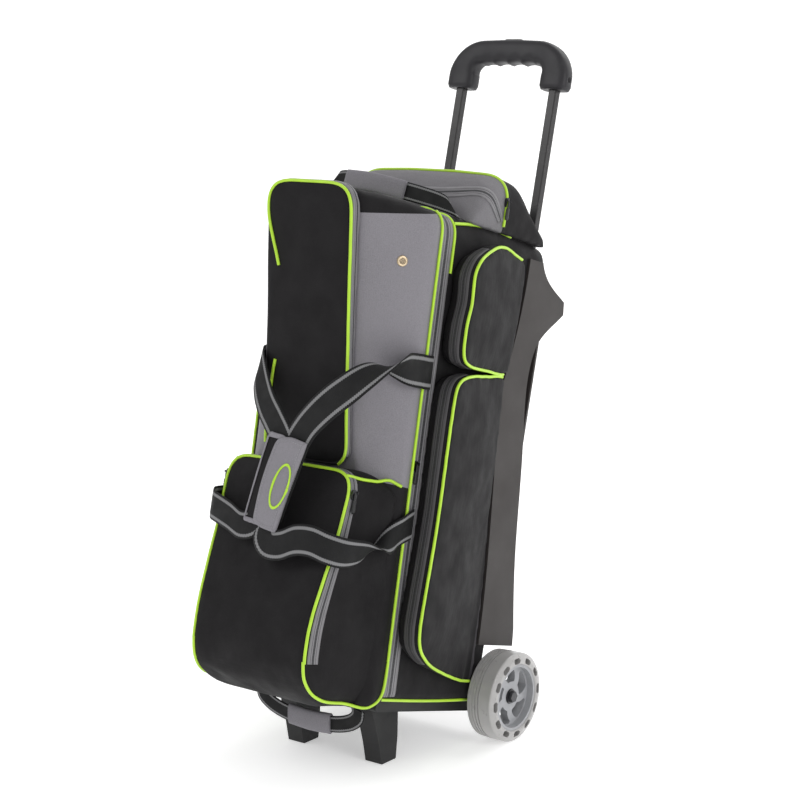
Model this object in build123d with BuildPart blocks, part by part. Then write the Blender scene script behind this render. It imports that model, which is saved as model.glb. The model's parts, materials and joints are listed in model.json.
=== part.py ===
from build123d import *
import os
from math import cos, radians, sin, tan

os.makedirs("parts", exist_ok=True)

# Rolling bowling bag for three balls in line. Millimetres, +Z up, the front of the bag faces -Y.
# The origin is on the floor under the middle of the bag.

# ---- driving dimensions ----
TILT = 15.0  # the body leans back from the vertical
ZIP_TILT = 12.0  # the plane of the main zip leans back less
AXLE_Y = 58.0  # the axle, behind the middle of the bag
WHEEL_R = 63.5
WHEEL_IN, WHEEL_OUT = 134.0, 178.0  # the wheel's two faces, from the middle plane
RIM_R = 47.0
AXLE_R = 6.0

TUB_HALF = 128.0
TUB_BACK = -26.0
TUB_LOW, TUB_HIGH = -14.0, 634.0
WALL = 6.0  # padded fabric wall
ZIP_V = -252.0  # depth of the zip plane at the axle's height
BALL_R = 110.0
BALL_PITCH = 212.0

TUBE_X = 82.0
OUTER_TUBE, OUTER_BORE = 17.0, 14.0
INNER_TUBE, INNER_BORE = 12.6, 10.0
OUTER_TOP = 572.0
INNER_LOW = 500.0
GRIP_LOW, GRIP_TOP = 868.0, 938.0
GRIP_HALF, GRIP_DEPTH = 104.0, 32.0
BUTTON_TRAVEL = 4.0

FOOT_X, FOOT_WIDTH = 69.0, 28.0
TRAY_LOW, TRAY_TOP = -30.0, -15.0

LID_LOW, LID_TOP = -22.0, 639.0
LID_GAP = 3.0  # room for the zip between the tub and the lid
STRAP_REACH = 128.0  # the carry straps' depth in front of the zip plane
WEBBING = 4.0


# ---- frames of reference ----
def leaning(angle, y, z):
    """Frame that leans back by angle: x runs across, y is depth towards the back, z is up the bag."""
    lean = radians(angle)
    return Plane(origin=(0, y, z), x_dir=(1, 0, 0), z_dir=(0, sin(lean), cos(lean)))


BODY = leaning(TILT, AXLE_Y, WHEEL_R)
zip_foot = BODY.from_local_coords((0, ZIP_V, 0))
LID = leaning(ZIP_TILT, zip_foot.Y, zip_foot.Z)
AXLE_AXIS = Axis((0, AXLE_Y, WHEEL_R), (1, 0, 0))


def side_plane(base, x=0.0):
    """For (depth, height) outlines that are extruded across the bag."""
    return Plane(origin=base.from_local_coords((x, 0, 0)), x_dir=base.y_dir, z_dir=(1, 0, 0))


def front_plane(base, depth):
    """For (across, height) outlines that are extruded towards the front."""
    return Plane(origin=base.from_local_coords((0, depth, 0)), x_dir=(1, 0, 0), z_dir=-base.y_dir)


def facing(base, point, across, depth, up):
    """Plane at a point of a frame, whose normal has the given components in that frame."""
    normal = base.x_dir * across + base.y_dir * depth + base.z_dir * up
    x_dir = base.z_dir if abs(up) < abs(across) else base.x_dir
    return Plane(origin=base.from_local_coords(point), x_dir=x_dir, z_dir=normal)


def save(builder, name):
    builder.part.label = name
    export_step(builder.part, f"parts/{name}.step")


SIDES = (("left", -1), ("right", 1))


# ---- wheels ----
RIM_PLANE = Plane(origin=(0, AXLE_Y, WHEEL_R), x_dir=(1, 0, 0), z_dir=(0, -1, 0))
VOIDS, VOID_R = 12, 53.0
GROOVES, GROOVE_PITCH, GROOVE_WIDTH, GROOVE_DEPTH = 4, 5.0, 2.0, 1.5
HUB_OUT = 166.0  # outer end of the hub's boss, inside the wheel's outer face
BEARING_R, BEARING_WIDTH = 11.0, 7.0
SPOKES = 5


def wheel_face(side, x):
    return Plane(origin=(side * x, AXLE_Y, WHEEL_R), x_dir=(0, side, 0), z_dir=(side, 0, 0))


def ring(side, inside, outside, start, end, mode=Mode.ADD):
    """Adds or cuts a ring about the axle, between two distances from the middle plane."""
    with BuildSketch(wheel_face(side, start)) as section:
        Circle(outside)
        Circle(inside, mode=Mode.SUBTRACT)
    extrude(section.sketch, amount=end - start, mode=mode)


for name, side in SIDES:
    with BuildPart() as tyre:
        with BuildSketch(RIM_PLANE):
            with BuildLine():
                FilletPolyline(
                    (side * WHEEL_IN, RIM_R),
                    (side * WHEEL_IN, WHEEL_R - 1),
                    (side * (WHEEL_IN + 20), WHEEL_R),
                    (side * (WHEEL_OUT - 4), WHEEL_R),
                    (side * WHEEL_OUT, RIM_R + 7),
                    (side * WHEEL_OUT, RIM_R),
                    radius=3,
                    close=True,
                )
            make_face()
        revolve(axis=AXLE_AXIS)
        # rounded voids in the outer face, around the rim
        with BuildSketch(wheel_face(side, WHEEL_OUT)):
            with PolarLocations(VOID_R, VOIDS):
                SlotOverall(15, 8, rotation=90)
        extrude(amount=-24, mode=Mode.SUBTRACT)
        # grooves round the inner half of the tread
        for i in range(GROOVES):
            start = WHEEL_IN + 4 + i * GROOVE_PITCH
            ring(side, WHEEL_R - GROOVE_DEPTH, WHEEL_R + 1, start, start + GROOVE_WIDTH, Mode.SUBTRACT)
    save(tyre, f"{name}_tyre")

    with BuildPart() as hub:
        ring(side, RIM_R - 4, RIM_R, WHEEL_IN + 3, WHEEL_OUT - 2)
        ring(side, BEARING_R, 17, WHEEL_IN + 3, HUB_OUT)
        ring(side, 16, RIM_R - 3, HUB_OUT - 12, HUB_OUT)
        # curved windows leave five swirling spokes
        for i in range(SPOKES):
            turn = i * 360 / SPOKES
            with BuildSketch(wheel_face(side, HUB_OUT)) as window:
                with BuildLine():
                    swirl = [(40, 8), (40, 34), (40, 60), (30, 44), (21, 34), (21, 12), (21, -8), (30, -4)]
                    p = [(r * cos(radians(a + turn)), r * sin(radians(a + turn))) for r, a in swirl]
                    ThreePointArc(p[0], p[1], p[2])
                    ThreePointArc(p[2], p[3], p[4])
                    ThreePointArc(p[4], p[5], p[6])
                    ThreePointArc(p[6], p[7], p[0])
                make_face()
                fillet(window.vertices(), radius=3)
            extrude(amount=-12, mode=Mode.SUBTRACT)
    save(hub, f"{name}_hub")

    with BuildPart() as bearings:
        ring(side, AXLE_R + 0.05, BEARING_R, WHEEL_IN + 4, WHEEL_IN + 4 + BEARING_WIDTH)
        ring(side, AXLE_R + 0.05, BEARING_R, HUB_OUT - BEARING_WIDTH, HUB_OUT)
    save(bearings, f"{name}_bearings")

BOLT_R = 4.0
with BuildPart() as axle:
    with BuildSketch(wheel_face(1, -HUB_OUT)):
        Circle(AXLE_R)
        Circle(BOLT_R + 0.05, mode=Mode.SUBTRACT)
    extrude(amount=2 * HUB_OUT)
    with BuildSketch(wheel_face(1, -HUB_OUT + 24)):
        Circle(AXLE_R)
    extrude(amount=2 * (HUB_OUT - 24))
save(axle, "axle")

with BuildPart() as axle_bolts:
    for name, side in SIDES:
        ring(side, BOLT_R - 1, 10, HUB_OUT + 0.4, HUB_OUT + 2)
        with BuildSketch(wheel_face(side, HUB_OUT + 2)):
            RegularPolygon(radius=8, side_count=6)
        extrude(amount=5)
        with BuildSketch(wheel_face(side, HUB_OUT - 22)):
            Circle(BOLT_R)
        extrude(amount=24)
save(axle_bolts, "axle_bolts")

# ---- base tray, feet and their screws ----
SCREW_R, SCREW_HEAD_R = 3.0, 5.5
FOOT_SCREWS = [(s * FOOT_X, v) for s in (-1, 1) for v in (-196, -168)]

with BuildPart() as base_tray:
    with BuildSketch(side_plane(BODY, -118)):
        with BuildLine():
            FilletPolyline(
                (-250, TRAY_LOW),
                (-250, TRAY_TOP),
                (-17, TRAY_TOP),
                (-17, 16),
                (17, 16),
                (17, -12),
                (2, TRAY_LOW),
                radius=4,
                close=True,
            )
        make_face()
    extrude(amount=236)
    with BuildSketch(wheel_face(1, -118)):
        Circle(AXLE_R + 0.05)
    extrude(amount=236, mode=Mode.SUBTRACT)
    # relief pockets under the tray, beside the feet
    with BuildSketch(BODY.offset(TRAY_LOW)):
        with Locations((0, -130)):
            RectangleRounded(90, 170, 12)
    extrude(amount=9, mode=Mode.SUBTRACT)
    with BuildSketch(BODY.offset(TRAY_TOP)):
        with Locations(*FOOT_SCREWS):
            Circle(SCREW_HEAD_R + 0.2)
    extrude(amount=-4, mode=Mode.SUBTRACT)
    with BuildSketch(BODY.offset(TRAY_TOP)):
        with Locations(*FOOT_SCREWS):
            Circle(SCREW_R + 0.1)
    extrude(amount=-20, mode=Mode.SUBTRACT)
save(base_tray, "base_tray")

for name, side in SIDES:
    foot_front, foot_back = AXLE_Y - 190, AXLE_Y - 158  # where the foot meets the floor
    with BuildPart() as foot:
        with BuildSketch(Plane(origin=(side * FOOT_X, 0, 0), x_dir=(0, 1, 0), z_dir=(1, 0, 0))):
            with BuildLine():
                top_front = BODY.from_local_coords((0, -212, TRAY_LOW))
                top_back = BODY.from_local_coords((0, -150, TRAY_LOW))
                Polyline(
                    (foot_front, 0),
                    (foot_back, 0),
                    (foot_back + 4, 30),
                    (top_back.Y, top_back.Z),
                    (top_front.Y, top_front.Z),
                    (foot_front - 6, 30),
                    close=True,
                )
            make_face()
        extrude(amount=FOOT_WIDTH / 2, both=True)
        fillet(foot.edges().filter_by(Axis.X), radius=1.5)
        with BuildSketch(BODY.offset(TRAY_LOW)):
            with Locations(*[(x, v) for x, v in FOOT_SCREWS if x * side > 0]):
                Circle(SCREW_R)
        extrude(amount=-16, mode=Mode.SUBTRACT)
    save(foot, f"{name}_foot")

with BuildPart() as foot_screws:
    with BuildSketch(BODY.offset(TRAY_TOP - 3.8)):
        with Locations(*FOOT_SCREWS):
            Circle(SCREW_HEAD_R)
    extrude(amount=3.5)
    with BuildSketch(BODY.offset(TRAY_LOW - 15)):
        with Locations(*FOOT_SCREWS):
            Circle(SCREW_R)
    extrude(amount=TRAY_TOP - 3.8 - TRAY_LOW + 15)
save(foot_screws, "foot_screws")

# ---- back panel, side guards and their screws ----
PANEL_FRONT, PANEL_BACK = TUB_BACK + 0.5, TUB_BACK + 6.0
PANEL_HALF, PANEL_TOP = 118.0, 604.0
GUARD_IN, GUARD_OUT = TUB_HALF + 0.3, TUB_HALF + 4.3
FLANGE_X = 108.0
GUARD_SCREWS = [(s * FLANGE_X, w) for s in (-1, 1) for w in (110, 260, 410, 560)]
BRACKET_BOLTS = [(x, w) for x in (-58, 58) for w in (42, 580)]

with BuildPart() as back_panel:
    with BuildSketch(front_plane(BODY, PANEL_BACK)):
        with Locations((0, (PANEL_TOP + TUB_LOW) / 2)):
            RectangleRounded(2 * PANEL_HALF, PANEL_TOP - TUB_LOW, 18)
    extrude(amount=PANEL_BACK - PANEL_FRONT)
    # two stair runners between the tubes
    with BuildSketch(front_plane(BODY, PANEL_BACK + 9)):
        with Locations((-36, 320), (36, 320)):
            RectangleRounded(14, 440, 6)
    extrude(amount=9)
    with BuildSketch(front_plane(BODY, PANEL_BACK)):
        with Locations(*GUARD_SCREWS, *BRACKET_BOLTS):
            Circle(2.6)
    extrude(amount=PANEL_BACK - PANEL_FRONT, mode=Mode.SUBTRACT)
save(back_panel, "back_panel")

for name, side in SIDES:
    with BuildPart() as guard:
        with BuildSketch(side_plane(BODY, side * GUARD_IN)):
            with BuildLine():
                Spline((-50, 66), (-60, 186), (-76, 298), (-93, 425))
                Spline((-93, 425), (-82, 470), (-72, 540), (-70, 612))
                Line((-70, 612), (-36, 612))
                Spline((-36, 612), (-20, 592), (0, 580), (34, 566))
                Line((34, 566), (37, 548))
                Spline((37, 548), (12, 528), (-20, 495), (-28, 470), (-17, 360), (10, 190), (34, 92))
                Line((34, 92), (38, 66))
                Line((38, 66), (-50, 66))
            make_face()
        extrude(amount=side * (GUARD_OUT - GUARD_IN))
        # inner flange, screwed to the back panel
        with BuildSketch(BODY.offset(74)):
            with Locations((side * (FLANGE_X + 8.3), PANEL_BACK + 2.3)):
                Rectangle(32, 4)
        extrude(amount=506)
        with BuildSketch(front_plane(BODY, PANEL_BACK + 5)):
            with Locations(*[(x, w) for x, w in GUARD_SCREWS if x * side > 0]):
                Circle(2.6)
        extrude(amount=6, mode=Mode.SUBTRACT)
    save(guard, f"{name}_side_guard")

with BuildPart() as guard_screws:
    with BuildSketch(front_plane(BODY, PANEL_BACK + 7.3)):
        with Locations(*GUARD_SCREWS):
            Circle(5)
    extrude(amount=2.9)
    with BuildSketch(front_plane(BODY, PANEL_BACK + 4.5)):
        with Locations(*GUARD_SCREWS):
            Circle(2.5)
    extrude(amount=9)
save(guard_screws, "guard_screws")

# ---- telescopic tubes and their brackets ----
BRACKET_HALF, BRACKET_BACK = 96.0, 12.0
BRACKET_DEPTH = BRACKET_BACK - PANEL_BACK - 0.1


def tube_block(low, high, bore):
    """Adds a block across both tubes, bored for them and for its two bolts."""
    with BuildSketch(BODY.offset(low)) as block:
        with Locations((0, BRACKET_BACK - BRACKET_DEPTH / 2)):
            RectangleRounded(2 * BRACKET_HALF, BRACKET_DEPTH, 5)
        with Locations((-TUBE_X, 0), (TUBE_X, 0)):
            Rectangle(bore, bore, mode=Mode.SUBTRACT)
    extrude(block.sketch, amount=high - low)
    with BuildSketch(front_plane(BODY, BRACKET_BACK)) as bolt_holes:
        with Locations(*[(x, w) for x, w in BRACKET_BOLTS if low < w < high]):
            Circle(2.6)
    extrude(bolt_holes.sketch, amount=BRACKET_DEPTH, mode=Mode.SUBTRACT)


with BuildPart() as tube_bracket:
    tube_block(24, 60, OUTER_TUBE + 0.1)
save(tube_bracket, "tube_bracket")

with BuildPart() as handle_guide:
    tube_block(OUTER_TOP + 0.1, OUTER_TOP + 16, INNER_TUBE + 0.6)
save(handle_guide, "handle_guide")

with BuildPart() as bracket_bolts:
    with BuildSketch(front_plane(BODY, BRACKET_BACK + 3)):
        with Locations(*BRACKET_BOLTS):
            Circle(4.5)
    extrude(amount=2.9)
    with BuildSketch(front_plane(BODY, BRACKET_BACK + 0.2)):
        with Locations(*BRACKET_BOLTS):
            Circle(2.5)
    extrude(amount=BRACKET_DEPTH + 5)
save(bracket_bolts, "bracket_bolts")

PIN_R, PIN_W = 3.0, 516.0
GRIP_SCREW_W = 884.0


def pin_plane(side, x):
    """Faces outwards, at a distance from the middle plane, on a tube's centre line."""
    return Plane(origin=BODY.from_local_coords((side * x, 0, 0)), x_dir=BODY.y_dir * side, z_dir=(side, 0, 0))


def cross_hole(side, x, up, radius, depth):
    """Cuts a round hole outwards from x."""
    with BuildSketch(pin_plane(side, x)) as hole:
        with Locations((0, up)):
            Circle(radius)
    extrude(hole.sketch, amount=depth, mode=Mode.SUBTRACT)


for name, side in SIDES:
    with BuildPart() as outer_tube:
        with BuildSketch(BODY.offset(16.5)):
            with Locations((side * TUBE_X, 0)):
                RectangleRounded(OUTER_TUBE, OUTER_TUBE, 2)
                RectangleRounded(OUTER_BORE, OUTER_BORE, 1, mode=Mode.SUBTRACT)
        extrude(amount=OUTER_TOP - 16.5)
        cross_hole(side, TUBE_X + 4, PIN_W, PIN_R + 0.3, 6)
    save(outer_tube, f"{name}_outer_tube")

    with BuildPart() as inner_tube:
        with BuildSketch(BODY.offset(INNER_LOW)):
            with Locations((side * TUBE_X, 0)):
                RectangleRounded(INNER_TUBE, INNER_TUBE, 1.5)
                RectangleRounded(INNER_BORE, INNER_BORE, 0.6, mode=Mode.SUBTRACT)
        extrude(amount=GRIP_TOP - 24 - INNER_LOW)
        cross_hole(side, TUBE_X + 2, PIN_W, PIN_R + 0.2, 6)
        cross_hole(side, TUBE_X + 2, GRIP_SCREW_W, 2.1, 6)
    save(inner_tube, f"{name}_inner_tube")

    with BuildPart() as lock_pin:
        with BuildSketch(pin_plane(side, TUBE_X - 1.3)):
            with Locations((0, PIN_W)):
                Circle(PIN_R)
        extrude(amount=INNER_TUBE / 2 + 1.1)
    save(lock_pin, f"{name}_lock_pin")

with BuildPart() as end_plugs:
    for name, side in SIDES:
        with BuildSketch(BODY.offset(INNER_LOW + 0.5)):
            with Locations((side * TUBE_X, 0)):
                RectangleRounded(INNER_BORE - 0.3, INNER_BORE - 0.3, 0.8)
        extrude(amount=40)
        with BuildSketch(BODY.offset(PIN_W)):
            with Locations((side * TUBE_X, 0)):
                Circle(3.2)
        extrude(amount=40, mode=Mode.SUBTRACT)
        cross_hole(side, TUBE_X - 4.7, PIN_W, PIN_R + 0.1, 20)
save(end_plugs, "end_plugs")

# ---- grip, release button and lock yoke ----
YOKE_TOP, YOKE_THICK = 926.0, 5.0
YOKE_HALF_DEPTH = 2.5
BUTTON_WIDE, BUTTON_DEEP = 32.0, 14.0
SPRING_R, SPRING_LOW = 4.0, 911.5
FINGER_R, FINGER_PITCH = 13.0, 25.0

with BuildPart() as grip:
    with BuildSketch(front_plane(BODY, GRIP_DEPTH / 2)) as outline:
        with BuildLine():
            FilletPolyline(
                (-GRIP_HALF + 8, GRIP_LOW),
                (-GRIP_HALF + 6, GRIP_LOW + 16),
                (-GRIP_HALF, GRIP_LOW + 30),
                (-GRIP_HALF, GRIP_TOP - 4),
                (0, GRIP_TOP),
                (GRIP_HALF, GRIP_TOP - 4),
                (GRIP_HALF, GRIP_LOW + 30),
                (GRIP_HALF - 6, GRIP_LOW + 16),
                (GRIP_HALF - 8, GRIP_LOW),
                radius=[10, 10, 22, 60, 22, 10, 10],
            )
            Line((GRIP_HALF - 8, GRIP_LOW), (-GRIP_HALF + 8, GRIP_LOW))
        make_face()
    extrude(amount=GRIP_DEPTH)
    depth_axis = Axis((0, 0, 0), tuple(BODY.y_dir))
    ends = grip.faces().sort_by(depth_axis)
    fillet(ends[0].edges() + ends[-1].edges(), radius=9)
    # the hand's opening, with four finger scallops under the bar
    with BuildSketch(front_plane(BODY, GRIP_DEPTH)):
        with Locations((0, GRIP_LOW + 12)):
            Rectangle(134, 44)
        with Locations(*[((i - 1.5) * FINGER_PITCH, GRIP_LOW + 31) for i in range(4)]):
            Circle(FINGER_R)
    extrude(amount=2 * GRIP_DEPTH, mode=Mode.SUBTRACT)
    # bores for the tubes and for the rods of the yoke
    with BuildSketch(BODY.offset(GRIP_LOW)):
        with Locations((-TUBE_X, 0), (TUBE_X, 0)):
            Rectangle(INNER_TUBE + 0.2, INNER_TUBE + 0.2)
    extrude(amount=GRIP_TOP - 23 - GRIP_LOW, mode=Mode.SUBTRACT)
    with BuildSketch(BODY.offset(GRIP_TOP - 24)):
        Rectangle(2 * TUBE_X + 8, 2 * YOKE_HALF_DEPTH + 1)
        Circle(SPRING_R + 1.2)
    extrude(amount=YOKE_TOP + 1 - (GRIP_TOP - 24), mode=Mode.SUBTRACT)
    with BuildSketch(BODY.offset(SPRING_LOW - 0.3)):
        Circle(SPRING_R + 1.2)
    extrude(amount=6, mode=Mode.SUBTRACT)
    # well for the button
    with BuildSketch(BODY.offset(YOKE_TOP - BUTTON_TRAVEL - 0.5)):
        RectangleRounded(BUTTON_WIDE + 0.8, BUTTON_DEEP + 0.8, 5)
    extrude(amount=30, mode=Mode.SUBTRACT)
    for name, side in SIDES:
        cross_hole(side, TUBE_X + 4, GRIP_SCREW_W, 2.1, 30)
        cross_hole(side, GRIP_HALF - 8, GRIP_SCREW_W, 4.2, 30)
save(grip, "grip")

with BuildPart() as grip_screws:
    for name, side in SIDES:
        with BuildSketch(pin_plane(side, TUBE_X + 3.4)):
            with Locations((0, GRIP_SCREW_W)):
                Circle(2)
        extrude(amount=GRIP_HALF - 8 - TUBE_X)
        with BuildSketch(pin_plane(side, GRIP_HALF - 7.8)):
            with Locations((0, GRIP_SCREW_W)):
                Circle(4)
        extrude(amount=2.6)
save(grip_screws, "grip_screws")

with BuildPart() as release_button:
    with BuildSketch(BODY.offset(YOKE_TOP)):
        RectangleRounded(BUTTON_WIDE, BUTTON_DEEP, 4.5)
    extrude(amount=GRIP_TOP + 5 - YOKE_TOP)
    button_up = Axis((0, 0, 0), tuple(BODY.z_dir))
    fillet(release_button.faces().sort_by(button_up)[-1].edges(), radius=2.5)
save(release_button, "release_button")

with BuildPart() as lock_yoke:
    with BuildSketch(BODY.offset(YOKE_TOP - YOKE_THICK)):
        Rectangle(2 * TUBE_X + 5, 2 * YOKE_HALF_DEPTH)
    extrude(amount=YOKE_THICK)
    with BuildSketch(BODY.offset(PIN_W + 15)):
        with Locations((-TUBE_X, 0), (TUBE_X, 0)):
            Circle(YOKE_HALF_DEPTH)
    extrude(amount=YOKE_TOP - 1 - PIN_W - 15)
save(lock_yoke, "lock_yoke")

SPRING_WIRE, SPRING_TURNS = 0.5, 4
spring_high = YOKE_TOP - YOKE_THICK - 0.6
with BuildPart() as button_spring:
    spring_rise = spring_high - SPRING_LOW - 2 * SPRING_WIRE
    spring_base = BODY.from_local_coords((0, 0, SPRING_LOW + SPRING_WIRE))
    with BuildLine():
        coil = Helix(
            pitch=spring_rise / SPRING_TURNS,
            height=spring_rise,
            radius=SPRING_R - SPRING_WIRE,
            center=tuple(spring_base),
            direction=tuple(BODY.z_dir),
        )
    with BuildSketch(Plane(origin=coil @ 0, z_dir=coil % 0)):
        Circle(SPRING_WIRE)
    sweep(is_frenet=True)
save(button_spring, "button_spring")

# ---- tub: the ball compartment, open towards the zip plane ----
ZIP_SLOPE = tan(radians(TILT - ZIP_TILT))


def tub_profile(inset, front):
    """(depth, height) outline of the tub, whose front edge follows the zip plane."""
    low, high, back = TUB_LOW + inset, TUB_HIGH - inset, TUB_BACK - inset
    edge = ZIP_V + front
    Polyline(
        (edge - ZIP_SLOPE * low, low),
        (back, low),
        (back, high),
        (edge - ZIP_SLOPE * high, high),
        close=True,
    )


with BuildPart() as tub_shell:
    with BuildSketch(side_plane(BODY, -TUB_HALF)):
        with BuildLine():
            tub_profile(0, 0.6)
        make_face()
    extrude(amount=2 * TUB_HALF)
    length_edges = tub_shell.edges().filter_by(Axis((0, 0, 0), tuple(BODY.y_dir)))
    fillet(length_edges, radius=14)
    fillet(tub_shell.faces().sort_by(Axis((0, 0, 0), tuple(BODY.y_dir)))[-1].edges(), radius=8)
    with BuildSketch(side_plane(BODY, -TUB_HALF + WALL)):
        with BuildLine():
            tub_profile(WALL, -5)
        make_face()
    extrude(amount=2 * (TUB_HALF - WALL), mode=Mode.SUBTRACT)
save(tub_shell, "tub_shell")

CUP_DEPTH, CUP_HEIGHT = 62.0, 190.0
CUPS = ("lower", "middle", "upper")
for i, name in enumerate(CUPS):
    centre = (TUB_LOW + TUB_HIGH) / 2 + (i - 1) * BALL_PITCH
    cup_back = TUB_BACK - WALL - 0.3
    ball = Sphere(BALL_R, mode=Mode.PRIVATE)
    ball.position = BODY.from_local_coords((0, cup_back - 10 - BALL_R, centre))
    with BuildPart() as ball_cup:
        with BuildSketch(front_plane(BODY, cup_back)):
            with Locations((0, centre)):
                RectangleRounded(216, CUP_HEIGHT, 12)
        extrude(amount=CUP_DEPTH)
        add(ball, mode=Mode.SUBTRACT)
    save(ball_cup, f"{name}_ball_cup")

with BuildPart() as zip_tape:
    with BuildSketch(front_plane(LID, 0.4)):
        middle = (LID_LOW + LID_TOP) / 2 + 3
        height = LID_TOP - LID_LOW - 10
        with Locations((0, middle)):
            RectangleRounded(2 * TUB_HALF, height, 16)
            RectangleRounded(2 * TUB_HALF - 12, height - 12, 10, mode=Mode.SUBTRACT)
    extrude(amount=2.6)
save(zip_tape, "zip_tape")

# ---- side pockets: wedges that are deep in front and thin at the guard's seam ----
POCKET_OUT, POCKET_THIN = 172.0, 134.0
POCKET_FRONT, POCKET_SEAM = -250.0, -62.0


def pocket_front(low, high):
    """Front edge of a side pocket, bowed between its two rounded corners."""
    middle = (low + high) / 2
    Spline(
        (POCKET_FRONT + 30, low),
        (POCKET_FRONT + 6, low + 12),
        (POCKET_FRONT, low + 50),
        (POCKET_FRONT + 5, middle),
        (POCKET_FRONT - 2, high - 38),
        (POCKET_FRONT + 34, high),
    )
    return (POCKET_FRONT + 30, low), (POCKET_FRONT + 34, high)


def cut_to_wedge(side):
    """Trims the pocket to a slanted outer face."""
    run, rise = POCKET_SEAM - POCKET_FRONT, POCKET_OUT - POCKET_THIN
    face = facing(BODY, (side * POCKET_THIN, POCKET_SEAM, 0), side * run, rise, 0)
    split(bisect_by=face, keep=Keep.BOTTOM)


for name, side in SIDES:
    with BuildPart() as lower_pocket:
        with BuildSketch(side_plane(BODY, side * (TUB_HALF + 0.5))):
            with BuildLine():
                start, end = pocket_front(24, 430)
                Line(end, (-95, 442))
                Spline((-95, 442), (-94, 425), (-77, 298), (-61, 186), (-51.5, 70))
                Line((-51.5, 70), (-51.5, 28))
                Line((-51.5, 28), start)
            make_face()
        extrude(amount=side * 60)
        cut_to_wedge(side)
    save(lower_pocket, f"{name}_lower_pocket")

    with BuildPart() as upper_pocket:
        with BuildSketch(side_plane(BODY, side * (TUB_HALF + 0.5))):
            with BuildLine():
                start, end = pocket_front(440, 614)
                Line(end, (-104, 620))
                Line((-104, 620), (-71.5, 613))
                Spline((-71.5, 613), (-73.5, 540), (-83.5, 470), (-94, 443))
                Line((-94, 443), start)
            make_face()
        extrude(amount=side * 60)
        cut_to_wedge(side)
    save(upper_pocket, f"{name}_upper_pocket")

# ---- top pocket ----
TOP_HALF, TOP_BASE, TOP_CREST = 131.0, TUB_HIGH + 0.5, 716.0
TOP_SLOPES = [((-222, TOP_BASE), (-184, 700)), ((-184, 700), (-152, TOP_CREST)), ((-112, TOP_CREST), (-38, 646))]
with BuildPart() as top_pocket:
    with BuildSketch(front_plane(BODY, -38)):
        with BuildLine():
            FilletPolyline(
                (-TOP_HALF, TOP_BASE),
                (-TOP_HALF, TOP_CREST),
                (TOP_HALF, TOP_CREST),
                (TOP_HALF, TOP_BASE),
                radius=34,
            )
            Line((TOP_HALF, TOP_BASE), (-TOP_HALF, TOP_BASE))
        make_face()
    extrude(amount=184)
    # the sloping faces in front and behind
    for (v_start, w_start), (v_end, w_end) in TOP_SLOPES:
        slope = facing(BODY, (0, v_start, w_start), 0, w_start - w_end, v_end - v_start)
        split(bisect_by=slope, keep=Keep.BOTTOM)
save(top_pocket, "top_pocket")

# ---- lid: shell, front pocket and shoe pocket ----
# across the lid, its front is narrower than its back; each row is height, front half-width, depth
LID_BACK_HALF = 129.0
LID_ROWS = [(LID_LOW, 120, 40), (190, 112, 41), (325, 70, 61), (705, 70, 116)]


def lid_form(inset, back):
    """The lid's solid form, inset by a wall thickness, open at the top for a sloping cut."""
    with BuildPart() as form:
        for height, front_half, depth in LID_ROWS:
            low = max(height, LID_LOW + inset)
            with BuildSketch(LID.offset(low)):
                with BuildLine():
                    Polyline(
                        (LID_BACK_HALF - inset, back),
                        (LID_BACK_HALF - inset, -16),
                        (front_half - inset, inset - depth),
                        (inset - front_half, inset - depth),
                        (inset - LID_BACK_HALF, -16),
                        (inset - LID_BACK_HALF, back),
                        close=True,
                    )
                make_face()
        loft(ruled=True)
        split(bisect_by=facing(LID, (0, 0, LID_TOP - inset), 0, 0.1, 1), keep=Keep.BOTTOM)
    return form.part


lid_outside = lid_form(0, -LID_GAP)
lid_inside = lid_form(WALL, LID_GAP)
with BuildPart() as lid_shell:
    add(lid_outside)
    add(lid_inside, mode=Mode.SUBTRACT)
save(lid_shell, "lid_shell")

(q_low, half_low, deep_low), (q_high, half_high, deep_high) = LID_ROWS[2:]
PANEL_SLOPE = (deep_high - deep_low) / (q_high - q_low)
PANEL = facing(LID, (0, -deep_low - 0.7, q_low), 0, -1, -PANEL_SLOPE)
FRONT_LOW, FRONT_HIGH = -36.0, 335.0
FRONT_THICK = 18.0
with BuildPart() as front_pocket:
    with BuildSketch(PANEL):
        with BuildLine():
            FilletPolyline(
                (-72, FRONT_LOW),
                (-70, 20),
                (-71, FRONT_HIGH),
                (71, FRONT_HIGH),
                (70, 20),
                (72, FRONT_LOW),
                radius=[30, 42, 42, 30],
            )
            Line((72, FRONT_LOW), (-72, FRONT_LOW))
        make_face()
    extrude(amount=FRONT_THICK)
    normal_axis = Axis((0, 0, 0), tuple(PANEL.z_dir))
    fillet(front_pocket.faces().sort_by(normal_axis)[-1].edges(), radius=5)
save(front_pocket, "front_pocket")

SHOE_LOW, SHOE_HIGH, SHOE_HALF = -26.0, 286.0, 119.0
SHOE_BACK, SHOE_FRONT = -40.2, -138.0
SHOE_TAPER = 13.5
BULGE_LOW, BULGE_HIGH = 30.0, 80.0  # between these heights the front face is at its full depth
with BuildPart() as shoe_pocket:
    with BuildSketch(front_plane(LID, SHOE_BACK)):
        with Locations((0, (SHOE_LOW + SHOE_HIGH) / 2)):
            RectangleRounded(2 * SHOE_HALF, SHOE_HIGH - SHOE_LOW, 36)
    extrude(amount=SHOE_BACK - SHOE_FRONT, taper=SHOE_TAPER)
    split(bisect_by=facing(LID, (0, SHOE_FRONT, BULGE_HIGH), 0, -1, 0.2), keep=Keep.BOTTOM)
    split(bisect_by=facing(LID, (0, SHOE_FRONT, BULGE_LOW), 0, -1, -1), keep=Keep.BOTTOM)
    add(lid_outside, mode=Mode.SUBTRACT)
    add(front_pocket.part, mode=Mode.SUBTRACT)
save(shoe_pocket, "shoe_pocket")

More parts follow.
